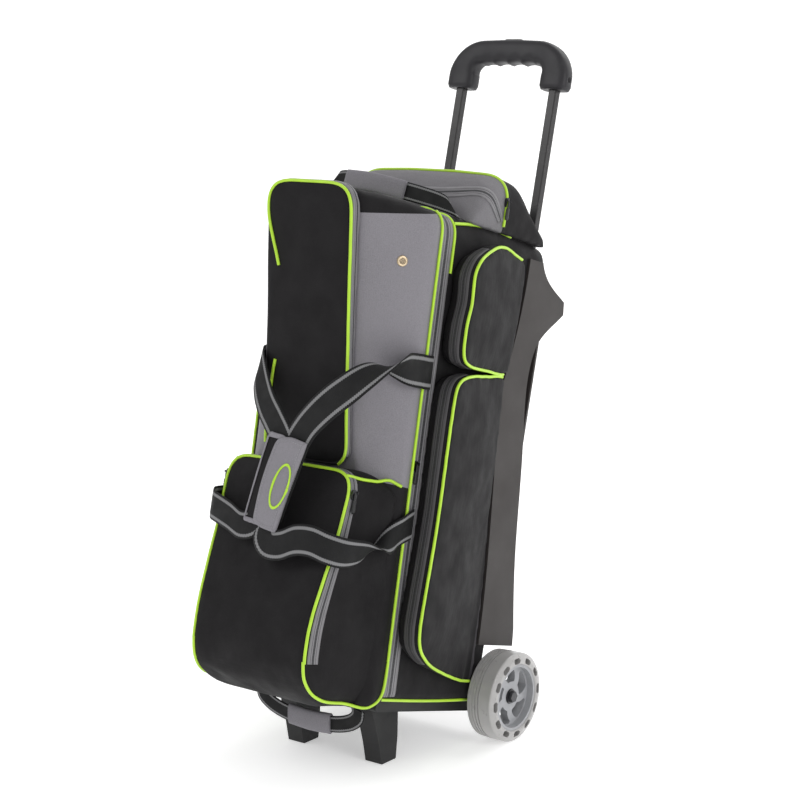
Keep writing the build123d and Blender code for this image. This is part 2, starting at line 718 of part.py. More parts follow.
# eyelets in the lid's slanted sides
EYELET_Q, EYELET_P = 565.0, -50.0
with BuildPart() as vent_eyelets:
    share = (EYELET_Q - q_low) / (q_high - q_low)
    eye_half = half_low + share * (half_high - half_low)
    eye_deep = deep_low + share * (deep_high - deep_low)
    slant = (LID_BACK_HALF - eye_half) / (eye_deep - 16)
    for name, side in SIDES:
        eye_x = LID_BACK_HALF + (EYELET_P + 16) * slant + 0.4
        eye = facing(LID, (side * eye_x, EYELET_P, EYELET_Q), side, -slant, 0)
        with BuildSketch(eye):
            Circle(7.5)
            Circle(3.5, mode=Mode.SUBTRACT)
        extrude(amount=1.6)
save(vent_eyelets, "vent_eyelets")

# ---- carry straps and their wrap grip ----
# seen from above, a strap runs forward beside the lid, turns round the shoe pocket and ends in the grip
# the left strap's branches hug the lid's side, each with its own line; heights are measured up the lid
STRAP_X = 134.0
RIGHT_END, LEFT_END = 12.0, -4.0
SIDE_RUN = [(STRAP_X, 10), (STRAP_X, -50)]
RIGHT_TURN = [(60, -140), (RIGHT_END, -136)]
RIGHT_UPPER_LINE = SIDE_RUN + [(127, -100), (112, -122), (92, -132)] + RIGHT_TURN
RIGHT_LOWER_LINE = SIDE_RUN + [(131, -100), (122, -124), (104, -138)] + RIGHT_TURN
LEFT_START = [(STRAP_X, -4), (STRAP_X, -18)]
LEFT_UPPER_LINE = LEFT_START + [(116, -46), (96, -84), (84, -104), (60, -STRAP_REACH), (-LEFT_END, -STRAP_REACH)]
LEFT_LOWER_LINE = LEFT_START + [(122, -64), (113, -105), (104, -124), (92, -STRAP_REACH), (-LEFT_END, -STRAP_REACH)]
STRAP_SPLIT = 305.0


def strap_band(side, line, low, high):
    """A strap's band between two heights: a line of (across, depth), made thick on its outer side."""
    inner = [Vector(x, p) for x, p in line]
    outer = []
    for i, point in enumerate(inner):
        along = inner[min(i + 1, len(inner) - 1)] - inner[max(i - 1, 0)]
        outer.append(point + Vector(-along.Y, along.X).normalized() * WEBBING)
    with BuildSketch(LID.offset(low)) as band:
        with BuildLine():
            Polyline(*[(side * point.X, point.Y) for point in inner + outer[::-1]], close=True)
        make_face()
    extrude(band.sketch, amount=high - low)


def strap_outline(side, end):
    """(across, height) outline of a strap's two branches, joined at the grip."""
    upper = [(28, 327), (52, 340), (92, 386), (128, 430), (150, 446), (150, 405), (128, 392), (95, 348), (58, 304)]
    lower = [(46, 290), (46, 226), (60, 220), (94, 208), (128, 228), (150, 250), (150, 211), (126, 188)]
    turn = [(92, 170), (56, 180), (side * end, 190), (side * end, 327)]
    Polyline(*[(side * x, q) for x, q in upper + lower + turn], close=True)


STRAPS = [
    ("right", 1, RIGHT_END, RIGHT_LOWER_LINE, RIGHT_UPPER_LINE),
    ("left", -1, LEFT_END, LEFT_LOWER_LINE, LEFT_UPPER_LINE),
]
for name, side, end, lower_line, upper_line in STRAPS:
    with BuildPart() as strap:
        strap_band(side, lower_line, 160, STRAP_SPLIT)
        strap_band(side, upper_line, STRAP_SPLIT, 460)
        with BuildSketch(front_plane(LID, 20)):
            with BuildLine():
                strap_outline(side, end)
            make_face()
        extrude(amount=180, mode=Mode.INTERSECT)
    save(strap, f"{name}_carry_strap")

WRAP_LOW, WRAP_HIGH = 186.0, 318.0
WRAP_GAP = 14.0
with BuildPart() as wrap_grip:
    with BuildSketch(LID.offset(WRAP_LOW)):
        with BuildLine():
            front = -STRAP_REACH - WEBBING - WRAP_GAP
            Polyline(
                (-52, -STRAP_REACH - WEBBING),
                (-40, -STRAP_REACH - WEBBING),
                (-36, front),
                (48, front),
                (48, front - 6),
                (-40, front - 8),
                (-52, front - 6),
                close=True,
            )
        make_face()
    extrude(amount=WRAP_HIGH - WRAP_LOW)
save(wrap_grip, "wrap_grip")

# ---- top and bottom grab handles ----
TOP_HANDLE_V = -238.0
SLEEVE_GAP = 0.5


def handle_outline(half, low, high, width):
    """(across, height) outline of a flat handle: two legs and a straight middle."""
    rise = high - low
    outer = [(half - 40, high), (half - 4, low + 0.55 * rise), (half, low)]
    inner = [(half - width, low), (half - width, low + 0.3 * rise), (half - 48, high - width)]
    right = outer + inner
    Polyline(*right, *[(-x, y) for x, y in right[::-1]], close=True)


# the top handle slumps to the left, with its sleeve over the high stretch
with BuildPart() as top_handle:
    with BuildSketch(front_plane(BODY, TOP_HANDLE_V + 2)):
        with BuildLine():
            outer = [(-118, TUB_HIGH + 3), (-118, 698), (-2, 698), (52, 688), (106, 662), (118, TUB_HIGH + 3)]
            inner = [(94, TUB_HIGH + 3), (88, 646), (44, 664), (-2, 672), (-108, 672), (-108, TUB_HIGH + 3)]
            Polyline(*outer, *inner, close=True)
        make_face()
    extrude(amount=WEBBING)
save(top_handle, "top_handle")

with BuildPart() as top_handle_sleeve:
    with BuildSketch(side_plane(BODY, -105)):
        with Locations((TOP_HANDLE_V, 685)):
            RectangleRounded(13, 34, 6)
            Rectangle(WEBBING + 2 * SLEEVE_GAP, 27, mode=Mode.SUBTRACT)
    extrude(amount=100)
save(top_handle_sleeve, "top_handle_sleeve")

BOTTOM_HANG = BODY.from_local_coords((0, -243, TRAY_LOW))
HANG = Plane(origin=(0, BOTTOM_HANG.Y, BOTTOM_HANG.Z), x_dir=(1, 0, 0), z_dir=(0, 0, -1))
with BuildPart() as bottom_handle:
    with BuildSketch(Plane(origin=HANG.origin + Vector(0, 2, 0), x_dir=(-1, 0, 0), z_dir=(0, -1, 0))):
        with BuildLine():
            handle_outline(88, 4, 46, 24)
        make_face()
    extrude(amount=WEBBING)
save(bottom_handle, "bottom_handle")

with BuildPart() as bottom_handle_sleeve:
    with BuildSketch(Plane(origin=HANG.origin + Vector(-38, 0, -34), x_dir=(0, 1, 0), z_dir=(1, 0, 0))):
        RectangleRounded(12, 31, 5)
        Rectangle(WEBBING + 2 * SLEEVE_GAP, 25, mode=Mode.SUBTRACT)
    extrude(amount=76)
save(bottom_handle_sleeve, "bottom_handle_sleeve")

# ---- zip sliders and their pull tabs ----
SLIDER_LONG, SLIDER_WIDE, SLIDER_THICK = 14.0, 9.0, 2.4
TAB_LONG, TAB_WIDE, TAB_THICK = 30.0, 6.6, 2.0
LUG_WIDE, LUG_LONG = 0.8, 2.8
PIVOT_ALONG, PIVOT_HIGH = 3.0, 3.8  # the tab's hinge line, from the slider's middle and underside
PIN_R = 0.5
zip_sites = [
    ("main_zip", facing(LID, (128.8, 5, 300), 1, 0, 0)),
    ("shoe_zip_right", facing(LID, (107.4, -92, 256), 1, -tan(radians(SHOE_TAPER)), 0)),
    ("shoe_zip_left", facing(LID, (-107.4, -92, 256), -1, -tan(radians(SHOE_TAPER)), 0)),
    ("top_zip", facing(BODY, (131.3, -150, 676), 1, 0, 0)),
]
for name, site in zip_sites:
    start = site.from_local_coords((PIVOT_ALONG, -SLIDER_WIDE / 2, PIVOT_HIGH))
    hinge_line = Plane(origin=start, x_dir=site.x_dir, z_dir=site.y_dir)
    with BuildPart() as slider:
        with BuildSketch(site):
            SlotOverall(SLIDER_LONG, SLIDER_WIDE)
        extrude(amount=SLIDER_THICK)
        # two lugs carry the tab's pin
        with BuildSketch(site.offset(SLIDER_THICK)):
            with GridLocations(0, SLIDER_WIDE - LUG_WIDE, 1, 2):
                with Locations((PIVOT_ALONG, 0)):
                    Rectangle(LUG_LONG, LUG_WIDE)
        extrude(amount=PIVOT_HIGH + 1 - SLIDER_THICK)
        with BuildSketch(hinge_line):
            Circle(PIN_R)
        extrude(amount=SLIDER_WIDE)
    save(slider, f"{name}_slider")
    with BuildPart() as tab:
        with BuildSketch(site.offset(PIVOT_HIGH - TAB_THICK / 2)):
            with Locations((PIVOT_ALONG - TAB_LONG / 2, 0)):
                SlotOverall(TAB_LONG, TAB_WIDE)
            with Locations((PIVOT_ALONG - TAB_WIDE / 2, 0)):
                Rectangle(TAB_WIDE, TAB_WIDE)
        extrude(amount=TAB_THICK)
        # a barrel round the pin
        with BuildSketch(hinge_line.offset((SLIDER_WIDE - TAB_WIDE) / 2)):
            Circle(TAB_THICK / 2)
        extrude(amount=TAB_WIDE)
        with BuildSketch(hinge_line):
            Circle(PIN_R + 0.1)
        extrude(amount=SLIDER_WIDE, mode=Mode.SUBTRACT)
    save(tab, f"{name}_tab")
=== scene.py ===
import json
import math

import bmesh
import bpy
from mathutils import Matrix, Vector, kdtree, noise
from mathutils.bvhtree import BVHTree


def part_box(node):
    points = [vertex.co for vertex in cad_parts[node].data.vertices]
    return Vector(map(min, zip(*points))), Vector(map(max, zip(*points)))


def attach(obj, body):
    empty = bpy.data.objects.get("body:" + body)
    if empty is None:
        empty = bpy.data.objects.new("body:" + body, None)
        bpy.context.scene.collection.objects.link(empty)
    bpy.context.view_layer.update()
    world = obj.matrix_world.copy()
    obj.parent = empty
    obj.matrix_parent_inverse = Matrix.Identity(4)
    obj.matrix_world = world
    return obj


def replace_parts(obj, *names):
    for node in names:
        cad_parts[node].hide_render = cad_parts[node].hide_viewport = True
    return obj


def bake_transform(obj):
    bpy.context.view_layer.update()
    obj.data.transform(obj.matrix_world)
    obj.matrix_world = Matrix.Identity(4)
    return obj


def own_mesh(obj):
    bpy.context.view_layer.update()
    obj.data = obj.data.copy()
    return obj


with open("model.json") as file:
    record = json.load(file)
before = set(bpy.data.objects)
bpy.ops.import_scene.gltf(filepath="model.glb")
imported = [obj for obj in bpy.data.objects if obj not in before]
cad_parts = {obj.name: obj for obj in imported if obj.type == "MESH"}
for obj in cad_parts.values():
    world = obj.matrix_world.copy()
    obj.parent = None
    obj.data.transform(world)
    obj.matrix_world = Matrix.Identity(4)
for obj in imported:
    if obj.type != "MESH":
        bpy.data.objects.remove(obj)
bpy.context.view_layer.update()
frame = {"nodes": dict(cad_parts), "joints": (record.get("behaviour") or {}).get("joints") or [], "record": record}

# A rolling bowling bag: soft goods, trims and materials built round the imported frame.
# Local coordinates are millimetres in one of two leaning frames, and are turned into metres once.

MM = 0.001
X = Vector((1, 0, 0))
JOINTS = {joint["name"]: joint for joint in frame["joints"]}

# body frame: x across, v depth towards the back, w up the bag, from the axle's centre
UP = Vector(JOINTS["tow_handle_slide"]["axis"]).normalized()
BACK = UP.cross(X)
AXLE = Vector((0, *JOINTS["right_wheel_spin"]["pos_m"][1:]))

# zip frame: x across, p depth towards the back, q up the lid; the hinge stands at (-132, 0, 300)
HINGE_X, HINGE_Q = -132.0, 300.0
ZIP_UP = -Vector(JOINTS["lid_hinge"]["axis"]).normalized()
ZIP_BACK = ZIP_UP.cross(X)
ZIP_FOOT = Vector(JOINTS["lid_hinge"]["pos_m"]) - (X * HINGE_X + ZIP_UP * HINGE_Q) * MM

TUB_HALF = 128.0
TUB_LOW, TUB_HIGH, TUB_BACK = -14.0, 634.0, -26.0
WALL = 6.0
PIPING = 2.1
WEBBING_WIDE = 38.0
FACE_SHARES = (0.85, 0.65, 0.45, 0.25)  # rings that close a face towards its middle


def at_body(x, v, w):
    return AXLE + (X * x + BACK * v + UP * w) * MM


def at_lid(x, p, q):
    return ZIP_FOOT + (X * x + ZIP_BACK * p + ZIP_UP * q) * MM


# ------------------------------------------------------------------ curves and loops
def smooth_path(points, per_span=8, closed=False):
    """Catmull-Rom curve through the points."""
    points = [Vector(p) for p in points]
    n = len(points)
    result = []
    for i in range(n if closed else n - 1):
        if closed:
            a, b, c, d = (points[(i + k - 1) % n] for k in range(4))
        else:
            a, b, c, d = points[max(i - 1, 0)], points[i], points[i + 1], points[min(i + 2, n - 1)]
        for k in range(per_span):
            t = k / per_span
            result.append(
                0.5 * (
                    2 * b + (c - a) * t + (
                        2 * a - 5 * b + 4 * c - d
                    ) * t**2 + (3 * b - a - 3 * c + d) * t**3
                )
            )
    if not closed:
        result.append(points[-1])
    return result


def distances(path):
    """Length along a path at each of its points, in metres."""
    result = [0.0]
    for a, b in zip(path, path[1:]):
        result.append(result[-1] + (b - a).length)
    return result


def resample(path, count):
    """The same path as a number of equal spans."""
    lengths = distances(path)
    result, span = [], 0
    for i in range(count + 1):
        target = lengths[-1] * i / count
        while span < len(path) - 2 and lengths[span + 1] < target:
            span += 1
        part = lengths[span + 1] - lengths[span]
        share = (target - lengths[span]) / part if part > 0 else 0
        result.append(path[span].lerp(path[span + 1], min(max(share, 0), 1)))
    return result


def evenly(path, step):
    """The same path with points about one step (mm) apart."""
    return resample(path, max(2, round(distances(path)[-1] / (step * MM))))


def rounded_loop(corners, radii, per_side=14, per_corner=7):
    """Closed loop of plain tuples through rounded corners, with equal counts on each side."""
    corners = [Vector(c) for c in corners]
    n = len(corners)
    starts, ends, result = [], [], []
    for i, corner in enumerate(corners):
        before, after = corners[i - 1] - corner, corners[(i + 1) % n] - corner
        radius = min(radii[i], before.length * 0.49, after.length * 0.49)
        starts.append(corner + before.normalized() * radius)
        ends.append(corner + after.normalized() * radius)
    for i, corner in enumerate(corners):
        for k in range(per_corner):
            t = k / per_corner
            result.append(starts[i] * (1 - t) ** 2 + corner * 2 * t * (1 - t) + ends[i] * t * t)
        nearest = starts[(i + 1) % n]
        for k in range(per_side):
            result.append(ends[i].lerp(nearest, k / per_side))
    return result


def between(loop_a, loop_b, t):
    return [a.lerp(b, t) for a, b in zip(loop_a, loop_b)]


def middle(loop):
    return sum(loop, Vector((0,) * len(loop[0]))) / len(loop)


# ------------------------------------------------------------------ meshes
def new_object(name, vertices, faces, material):
    mesh = bpy.data.meshes.new(name)
    mesh.from_pydata([tuple(v) for v in vertices], [], faces)
    mesh.materials.append(material)
    obj = bpy.data.objects.new(name, mesh)
    bpy.context.scene.collection.objects.link(obj)
    shade(obj)
    return obj


def shade(obj):
    """Consistent outward normals and smooth shading."""
    bm = bmesh.new()
    bm.from_mesh(obj.data)
    bmesh.ops.remove_doubles(bm, verts=bm.verts, dist=1e-6)
    bmesh.ops.recalc_face_normals(bm, faces=bm.faces)
    for face in bm.faces:
        face.smooth = True
    bm.to_mesh(obj.data)
    bm.free()


def closed_form(name, loops, material, rings=9):
    """Closed mesh from a stack of loops, with both ends filled by shrinking rings."""
    count = len(loops[0])
    stack = [between(loops[0], [middle(loops[0])] * count, k / rings) for k in range(rings - 1, 0, -1)]
    stack += loops
    stack += [between(loops[-1], [middle(loops[-1])] * count, k / rings) for k in range(1, rings)]
    vertices = [p for loop in stack for p in loop]
    faces = []
    for i in range(len(stack) - 1):
        for k in range(count):
            a, b = i * count + k, i * count + (k + 1) % count
            faces.append((a, b, b + count, a + count))
    for end, centre in ((0, middle(stack[0])), (len(stack) - 1, middle(stack[-1]))):
        vertices.append(centre)
        hub = len(vertices) - 1
        faces += [(end * count + k, end * count + (k + 1) % count, hub) for k in range(count)]
    return new_object(name, vertices, faces, material)


def final_mesh(obj):
    """Applies the object's modifiers."""
    graph = bpy.context.evaluated_depsgraph_get()
    mesh = bpy.data.meshes.new_from_object(obj.evaluated_get(graph))
    obj.modifiers.clear()
    obj.data = mesh
    return obj


def with_modifier(obj, kind, **values):
    modifier = obj.modifiers.new(kind.lower(), kind)
    for key, value in values.items():
        setattr(modifier, key, value)
    return final_mesh(obj)


def strip(name, rows, material, thickness=1.0):
    """Flat band from rows of points across it. UV.x runs along it in metres, UV.y across from 0 to 1."""
    across = len(rows[0])
    normals = []
    for i, row in enumerate(rows):
        ahead, behind = rows[min(i + 1, len(rows) - 1)], rows[max(i - 1, 0)]
        along = ahead[across // 2] - behind[across // 2]
        normals.append(along.cross(row[-1] - row[0]).normalized())
    bm = bmesh.new()
    uv = bm.loops.layers.uv.new("band")
    layers = []
    for side in (0.5, -0.5):
        layer = []
        for row, normal in zip(rows, normals):
            edge_thin = [0.55 if k in (0, across - 1) else 1.0 for k in range(across)]
            layer.append(
                [bm.verts.new(p + normal * (side * thickness * e) * MM) for p, e in zip(row, edge_thin)]
            )
        layers.append(layer)
    distance = distances([row[across // 2] for row in rows])

    def quad(corners, coordinates):
        face = bm.faces.new(corners)
        face.smooth = True
        for loop, coordinate in zip(face.loops, coordinates):
            loop[uv].uv = coordinate

    top, bottom = layers
    for i in range(len(rows) - 1):
        u0, u1 = distance[i], distance[i + 1]
        for k in range(across - 1):
            v0, v1 = k / (across - 1), (k + 1) / (across - 1)
            places = [(u0, v0), (u1, v0), (u1, v1), (u0, v1)]
            quad([top[i][k], top[i + 1][k], top[i + 1][k + 1], top[i][k + 1]], places)
            places = [(u0, v1), (u1, v1), (u1, v0), (u0, v0)]
            quad([bottom[i][k + 1], bottom[i + 1][k + 1], bottom[i + 1][k], bottom[i][k]], places)
        for k, v in ((0, 0.0), (across - 1, 1.0)):
            places = [(u0, v), (u1, v), (u1, v), (u0, v)]
            quad([bottom[i][k], bottom[i + 1][k], top[i + 1][k], top[i][k]], places)
    for i, u in ((0, distance[0]), (len(rows) - 1, distance[-1])):
        for k in range(across - 1):
            places = [(u, k / (across - 1)), (u, (k + 1) / (across - 1))] * 2
            quad([top[i][k], top[i][k + 1], bottom[i][k + 1], bottom[i][k]], places)
    bmesh.ops.recalc_face_normals(bm, faces=bm.faces)
    mesh = bpy.data.meshes.new(name)
    bm.to_mesh(mesh)
    bm.free()
    mesh.materials.append(material)
    obj = bpy.data.objects.new(name, mesh)
    bpy.context.scene.collection.objects.link(obj)
    return obj


def webbing(name, stations, material, width=WEBBING_WIDE, thickness=2.2, place=at_lid):
    """Flat webbing through stations of (centre, direction across), both in a local frame."""
    centres = smooth_path([s[0] for s in stations], 12)
    across = smooth_path([Vector(s[1]).normalized() for s in stations], 12)
    zero = place(0, 0, 0)
    rows = []
    for centre, direction in zip(centres, across):
        middle_point = place(*centre)
        way = (place(*direction) - zero).normalized() * width * MM
        rows.append([middle_point + way * (k / 8 - 0.5) for k in range(9)])
    return strip(name, rows, material, thickness)


def tube(name, path, radius, material, resolution=4):
    """Round cord along a path, as a mesh-like curve."""
    curve = bpy.data.curves.new(name, "CURVE")
    curve.dimensions = "3D"
    curve.bevel_depth = radius * MM
    curve.bevel_resolution = resolution
    curve.use_fill_caps = True
    spline = curve.splines.new("POLY")
    spline.points.add(len(path) - 1)
    for point, place in zip(spline.points, path):
        point.co = (*place, 1)
    spline.use_smooth = True
    curve.materials.append(material)
    obj = bpy.data.objects.new(name, curve)
    bpy.context.scene.collection.objects.link(obj)
    return obj


class Surface:
    """Finds the nearest place on finished pieces, so that trims lie on them."""

    def __init__(self, *objects):
        self.trees = []
        for obj in objects:
            bm = bmesh.new()
            bm.from_mesh(obj.data)
            self.trees.append(BVHTree.FromBMesh(bm))
            bm.free()

    def snap(self, point, lift=0.0):
        found = [tree.find_nearest(point) for tree in self.trees]
        place, normal, _, _ = min(found, key=lambda f: f[3])
        return place + normal * lift * MM

    def path(self, points, lift):
        return [self.snap(p, lift) for p in points]


def piping_on(name, surface, points, material, body, lift=1.1):
    path = surface.path(evenly(points, 5), lift)
    for _ in range(2):
        path = relaxed(path)
    piece = tube(name, path, PIPING, material)
    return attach(piece, body)


def relaxed(path):
    """Takes small kinks out of an open path."""
    result = list(path)
    for i in range(1, len(path) - 1):
        result[i] = path[i] * 0.5 + (path[i - 1] + path[i + 1]) * 0.25
    return result


def band_on(name, surface, edge_a, edge_b, material, body, lift=0.9, across=7, step=5):
    """Flat band laid on finished pieces between two paths with the same number of points."""
    count = max(8, round(distances(edge_a)[-1] / (step * MM)))
    first, second = resample(edge_a, count), resample(edge_b, count)
    rows = []
    for a, b in zip(first, second):
        rows.append([surface.snap(a.lerp(b, k / (across - 1)), lift) for k in range(across)])
    piece = strip(name, rows, material, 1.0)
    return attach(piece, body)


def stitch_line(name, surface, points, material, body, length=3.2, gap=1.6, lift=0.35, radius=0.35):
    """Row of sewn stitches along a path."""
    path = evenly(points, length + gap)
    vertices, faces = [], []
    for a, b in zip(path, path[1:]):
        start = surface.snap(a, lift) if surface else a
        end = surface.snap(a.lerp(b, length / (length + gap)), lift) if surface else a.lerp(b, 0.66)
        way = (end - start).normalized()
        side = way.orthogonal().normalized()
        other = way.cross(side)
        base = len(vertices)
        for place, size in ((start, 0.3), (start.lerp(end, 0.25), 1), (start.lerp(end, 0.75), 1), (end, 0.3)):
            for k in range(6):
                turn = k * math.pi / 3
                vertices.append(place + (side * math.cos(turn) + other * math.sin(turn)) * radius * size * MM)
        for j in range(3):
            for k in range(6):
                c, d = base + j * 6 + k, base + j * 6 + (k + 1) % 6
                faces.append((c, d, d + 6, c + 6))
        faces.append(tuple(base + k for k in range(5, -1, -1)))
        faces.append(tuple(base + 18 + k for k in range(6)))
    piece = new_object(name, vertices, faces, material)
    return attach(piece, body)


# ------------------------------------------------------------------ padding
def seam_weights(obj, seams, hold, fade):
    """1 at the seams, falling to 0 at hold + fade millimetres from them."""
    points = [p for seam in seams for p in evenly(seam, 6)]
    tree = kdtree.KDTree(len(points))
    for i, point in enumerate(points):
        tree.insert(point, i)
    tree.balance()
    weights = []
    for vertex in obj.data.vertices:
        distance = tree.find(vertex.co)[2] / MM
        weights.append(1 - min(max((distance - hold) / fade, 0), 1))
    return weights


def padding(obj, seams, voxel=5.0, pressure=4.0, cap=8.0, hold=3.0, fade=10.0, fixed=None, rumple=0.8):
    """Remeshes a form, swells it as cloth between its held seams, and adds slight creases."""
    with_modifier(obj, "REMESH", mode="VOXEL", voxel_size=voxel * MM)
    with_modifier(obj, "SMOOTH", factor=0.5, iterations=3)
    weights = seam_weights(obj, seams, hold, fade)
    if fixed:
        weights = [1.0 if fixed(v.co) else w for v, w in zip(obj.data.vertices, weights)]
    swell(obj, weights, pressure, cap)
    for vertex, weight in zip(obj.data.vertices, weights):
        fold = noise.noise(vertex.co * 22) + 0.5 * noise.noise(vertex.co * 55)
        vertex.co += vertex.normal * fold * rumple * (1 - weight) * MM
    with_modifier(obj, "SUBSURF", levels=1, render_levels=1)
    shade(obj)
    return obj


def swell(obj, weights, pressure, cap):
    rest = [v.co.copy() for v in obj.data.vertices]
    group = obj.vertex_groups.new(name="held")
    for i, weight in enumerate(weights):
        if weight > 0:
            group.add([i], weight, "REPLACE")
    modifier = obj.modifiers.new("cloth", "CLOTH")
    settings = modifier.settings
    settings.quality = 5
    settings.mass = 0.3
    settings.tension_stiffness = settings.compression_stiffness = 12
    settings.bending_stiffness = 1.0
    settings.use_pressure = True
    settings.uniform_pressure_force = pressure
    settings.vertex_group_mass = "held"
    settings.effector_weights.gravity = 0
    modifier.collision_settings.use_collision = False
    modifier.point_cache.frame_start = 1
    modifier.point_cache.frame_end = 20
    scene = bpy.context.scene
    for step in range(1, 21):
        scene.frame_set(step)
    final_mesh(obj)
    scene.frame_set(1)
    for vertex, start in zip(obj.data.vertices, rest):
        moved = vertex.co - start
        if moved.length > cap * MM:
            vertex.co = start + moved.normalized() * cap * MM


def finished(obj, body, slot, *nodes, fill=None):
    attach(obj, body)
    if nodes:
        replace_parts(obj, *nodes)
    return obj


# ------------------------------------------------------------------ materials
class Shader:
    """A material and short ways to add nodes to it."""

    def __init__(self, name, **sockets):
        self.material = bpy.data.materials.new(name)
        self.material.use_nodes = True
        self.nodes = self.material.node_tree.nodes
        self.links = self.material.node_tree.links
        self.surface = self.nodes["Principled BSDF"]
        self.place = self.nodes.new("ShaderNodeTexCoord").outputs["Object"]
        for key, value in sockets.items():
            self.surface.inputs[key.replace("_", " ")].default_value = value

    def add(self, kind, inputs=(), **settings):
        node = self.nodes.new("ShaderNode" + kind)
        for key, value in settings.items():
            setattr(node, key, value)
        for key, value in dict(inputs).items():
            if isinstance(value, bpy.types.NodeSocket):
                self.links.new(value, node.inputs[key])
            else:
                node.inputs[key].default_value = value
        return node

    def math(self, operation, a, b=0.0):
        return self.add("Math", {0: a, 1: b}, operation=operation).outputs[0]

    def along(self, direction):
        """How far the surface lies along a direction, in metres."""
        inputs = {0: self.place, 1: tuple(direction)}
        return self.add("VectorMath", inputs, operation="DOT_PRODUCT").outputs["Value"]

    def blotches(self, scale, detail=4.0, stretch=None):
        place = self.place
        if stretch:
            place = self.add("Mapping", {"Vector": place, "Scale": stretch}).outputs[0]
        return self.add("TexNoise", {"Vector": place, "Scale": scale, "Detail": detail}).outputs["Fac"]

    def blend(self, share, a, b):
        node = self.add("Mix", data_type="RGBA")
        self.links.new(share, node.inputs[0])
        for socket, value in ((6, a), (7, b)):
            if isinstance(value, bpy.types.NodeSocket):
                self.links.new(value, node.inputs[socket])
            else:
                node.inputs[socket].default_value = (*value, 1)
        return node.outputs[2]

    def colour(self, value):
        self.links.new(value, self.surface.inputs["Base Color"])

    def span(self, value, low, high, to_low, to_high):
        node = self.add("MapRange", {"Value": value, 1: low, 2: high, 3: to_low, 4: to_high})
        return node.outputs[0]

    def roughness(self, value, low, high):
        self.links.new(self.span(value, 0.3, 0.7, low, high), self.surface.inputs["Roughness"])

    def bump(self, height, strength, distance):
        node = self.add("Bump", {"Height": height, "Strength": strength, "Distance": distance})
        if self.surface.inputs["Normal"].links:
            self.links.new(self.surface.inputs["Normal"].links[0].from_socket, node.inputs["Normal"])
        self.links.new(node.outputs[0], self.surface.inputs["Normal"])

    def weave(self, period):
        """Fine threads on every side of an object; period is in metres."""
        waves = []
        for axis in "XYZ":
            wave = self.add(
                "TexWave",
                {"Vector": self.place, "Scale": 0.314 / period, "Distortion": 0.6, "Detail": 1.0},
                wave_type="BANDS",
                bands_direction=axis,
            )
            waves.append(wave.outputs["Fac"])
        return self.math("ADD", self.math("ADD", waves[0], waves[1]), waves[2])


def scaled(colour, factor):
    return tuple(min(1, c * factor) for c in colour)


def cloth_colour(shader, colour, spread=0.16):
    wide = shader.blotches(9)
    fine = shader.blotches(900, 1.0)
    base = shader.blend(wide, scaled(colour, 1 - spread), scaled(colour, 1 + spread))
    flecks = shader.span(fine, 0.35, 0.65, 0.0, 0.55)
    return shader.blend(flecks, base, scaled(colour, 1.35))


def fabric(name, colour, period=0.0016, rough=(0.55, 0.75), crease=0.5, sheen=0.02):
    shader = Shader(name, Sheen_Weight=sheen, Sheen_Roughness=0.45, Specular_IOR_Level=0.16)
    shader.colour(cloth_colour(shader, colour))
    shader.roughness(shader.blotches(30), *rough)
    shader.bump(shader.weave(period), 0.16, 0.0003)
    shader.bump(shader.blotches(24, 3.0, (1.0, 1.0, 0.8)), crease, 0.004)
    return shader


def plastic(name, colour, rough=(0.32, 0.5), grain=0.12, grain_scale=1400, wear=0.5):
    shader = Shader(name, Specular_IOR_Level=0.32)
    scuffs = shader.span(shader.blotches(60, 8.0), 0.55, 0.75, 0.0, wear)
    base = shader.blend(shader.blotches(7), scaled(colour, 0.88), scaled(colour, 1.12))
    shader.colour(shader.blend(scuffs, base, scaled(colour, 1.5)))
    shader.roughness(shader.blotches(18, 6.0), *rough)
    shader.bump(shader.blotches(grain_scale, 2.0), grain, 0.0002)
    return shader.material


def metal(name, colour, rough=(0.25, 0.45)):
    shader = Shader(name, Metallic=1.0)
    shader.colour(shader.blend(shader.blotches(40, 6.0), scaled(colour, 0.75), scaled(colour, 1.2)))
    shader.roughness(shader.blotches(90, 6.0), *rough)
    shader.bump(shader.blotches(500, 2.0, (1, 1, 0.1)), 0.08, 0.0002)
    return shader.material


LIME = (0.44, 0.72, 0.03)
BLACK = (0.0085, 0.0078, 0.0086)
CHARCOAL = (0.042, 0.0395, 0.0435)
GRAY = (0.205, 0.197, 0.215)

black_cloth = fabric("black_polyester", BLACK).material
gray_cloth = fabric("gray_polyester", GRAY, crease=0.4).material
foam_cloth = fabric("brushed_foam", (0.05, 0.05, 0.055), 0.003, (0.8, 0.95), 0.3, 0.5).material
thread = fabric("gray_thread", (0.3, 0.3, 0.31), 0.0006, crease=0.0).material


def piping_material():
    shader = Shader("lime_piping", Specular_IOR_Level=0.5, Coat_Weight=0.15, Coat_Roughness=0.4)
    shader.colour(shader.blend(shader.blotches(45), scaled(LIME, 0.86), scaled(LIME, 1.1)))
    shader.roughness(shader.blotches(120), 0.35, 0.5)
    shader.bump(shader.blotches(1500, 1.0), 0.15, 0.0002)
    return shader.material


def band_place(shader):
    """The band's own coordinates: along it in metres, and across it from 0 to 1."""
    split = shader.add("SeparateXYZ", {0: shader.add("UVMap", uv_map="band").outputs[0]})
    return split.outputs[0], split.outputs[1]


def inside(shader, value, low, high):
    return shader.math(
        "MULTIPLY", shader.math("GREATER_THAN", value, low), shader.math("LESS_THAN", value, high)
    )


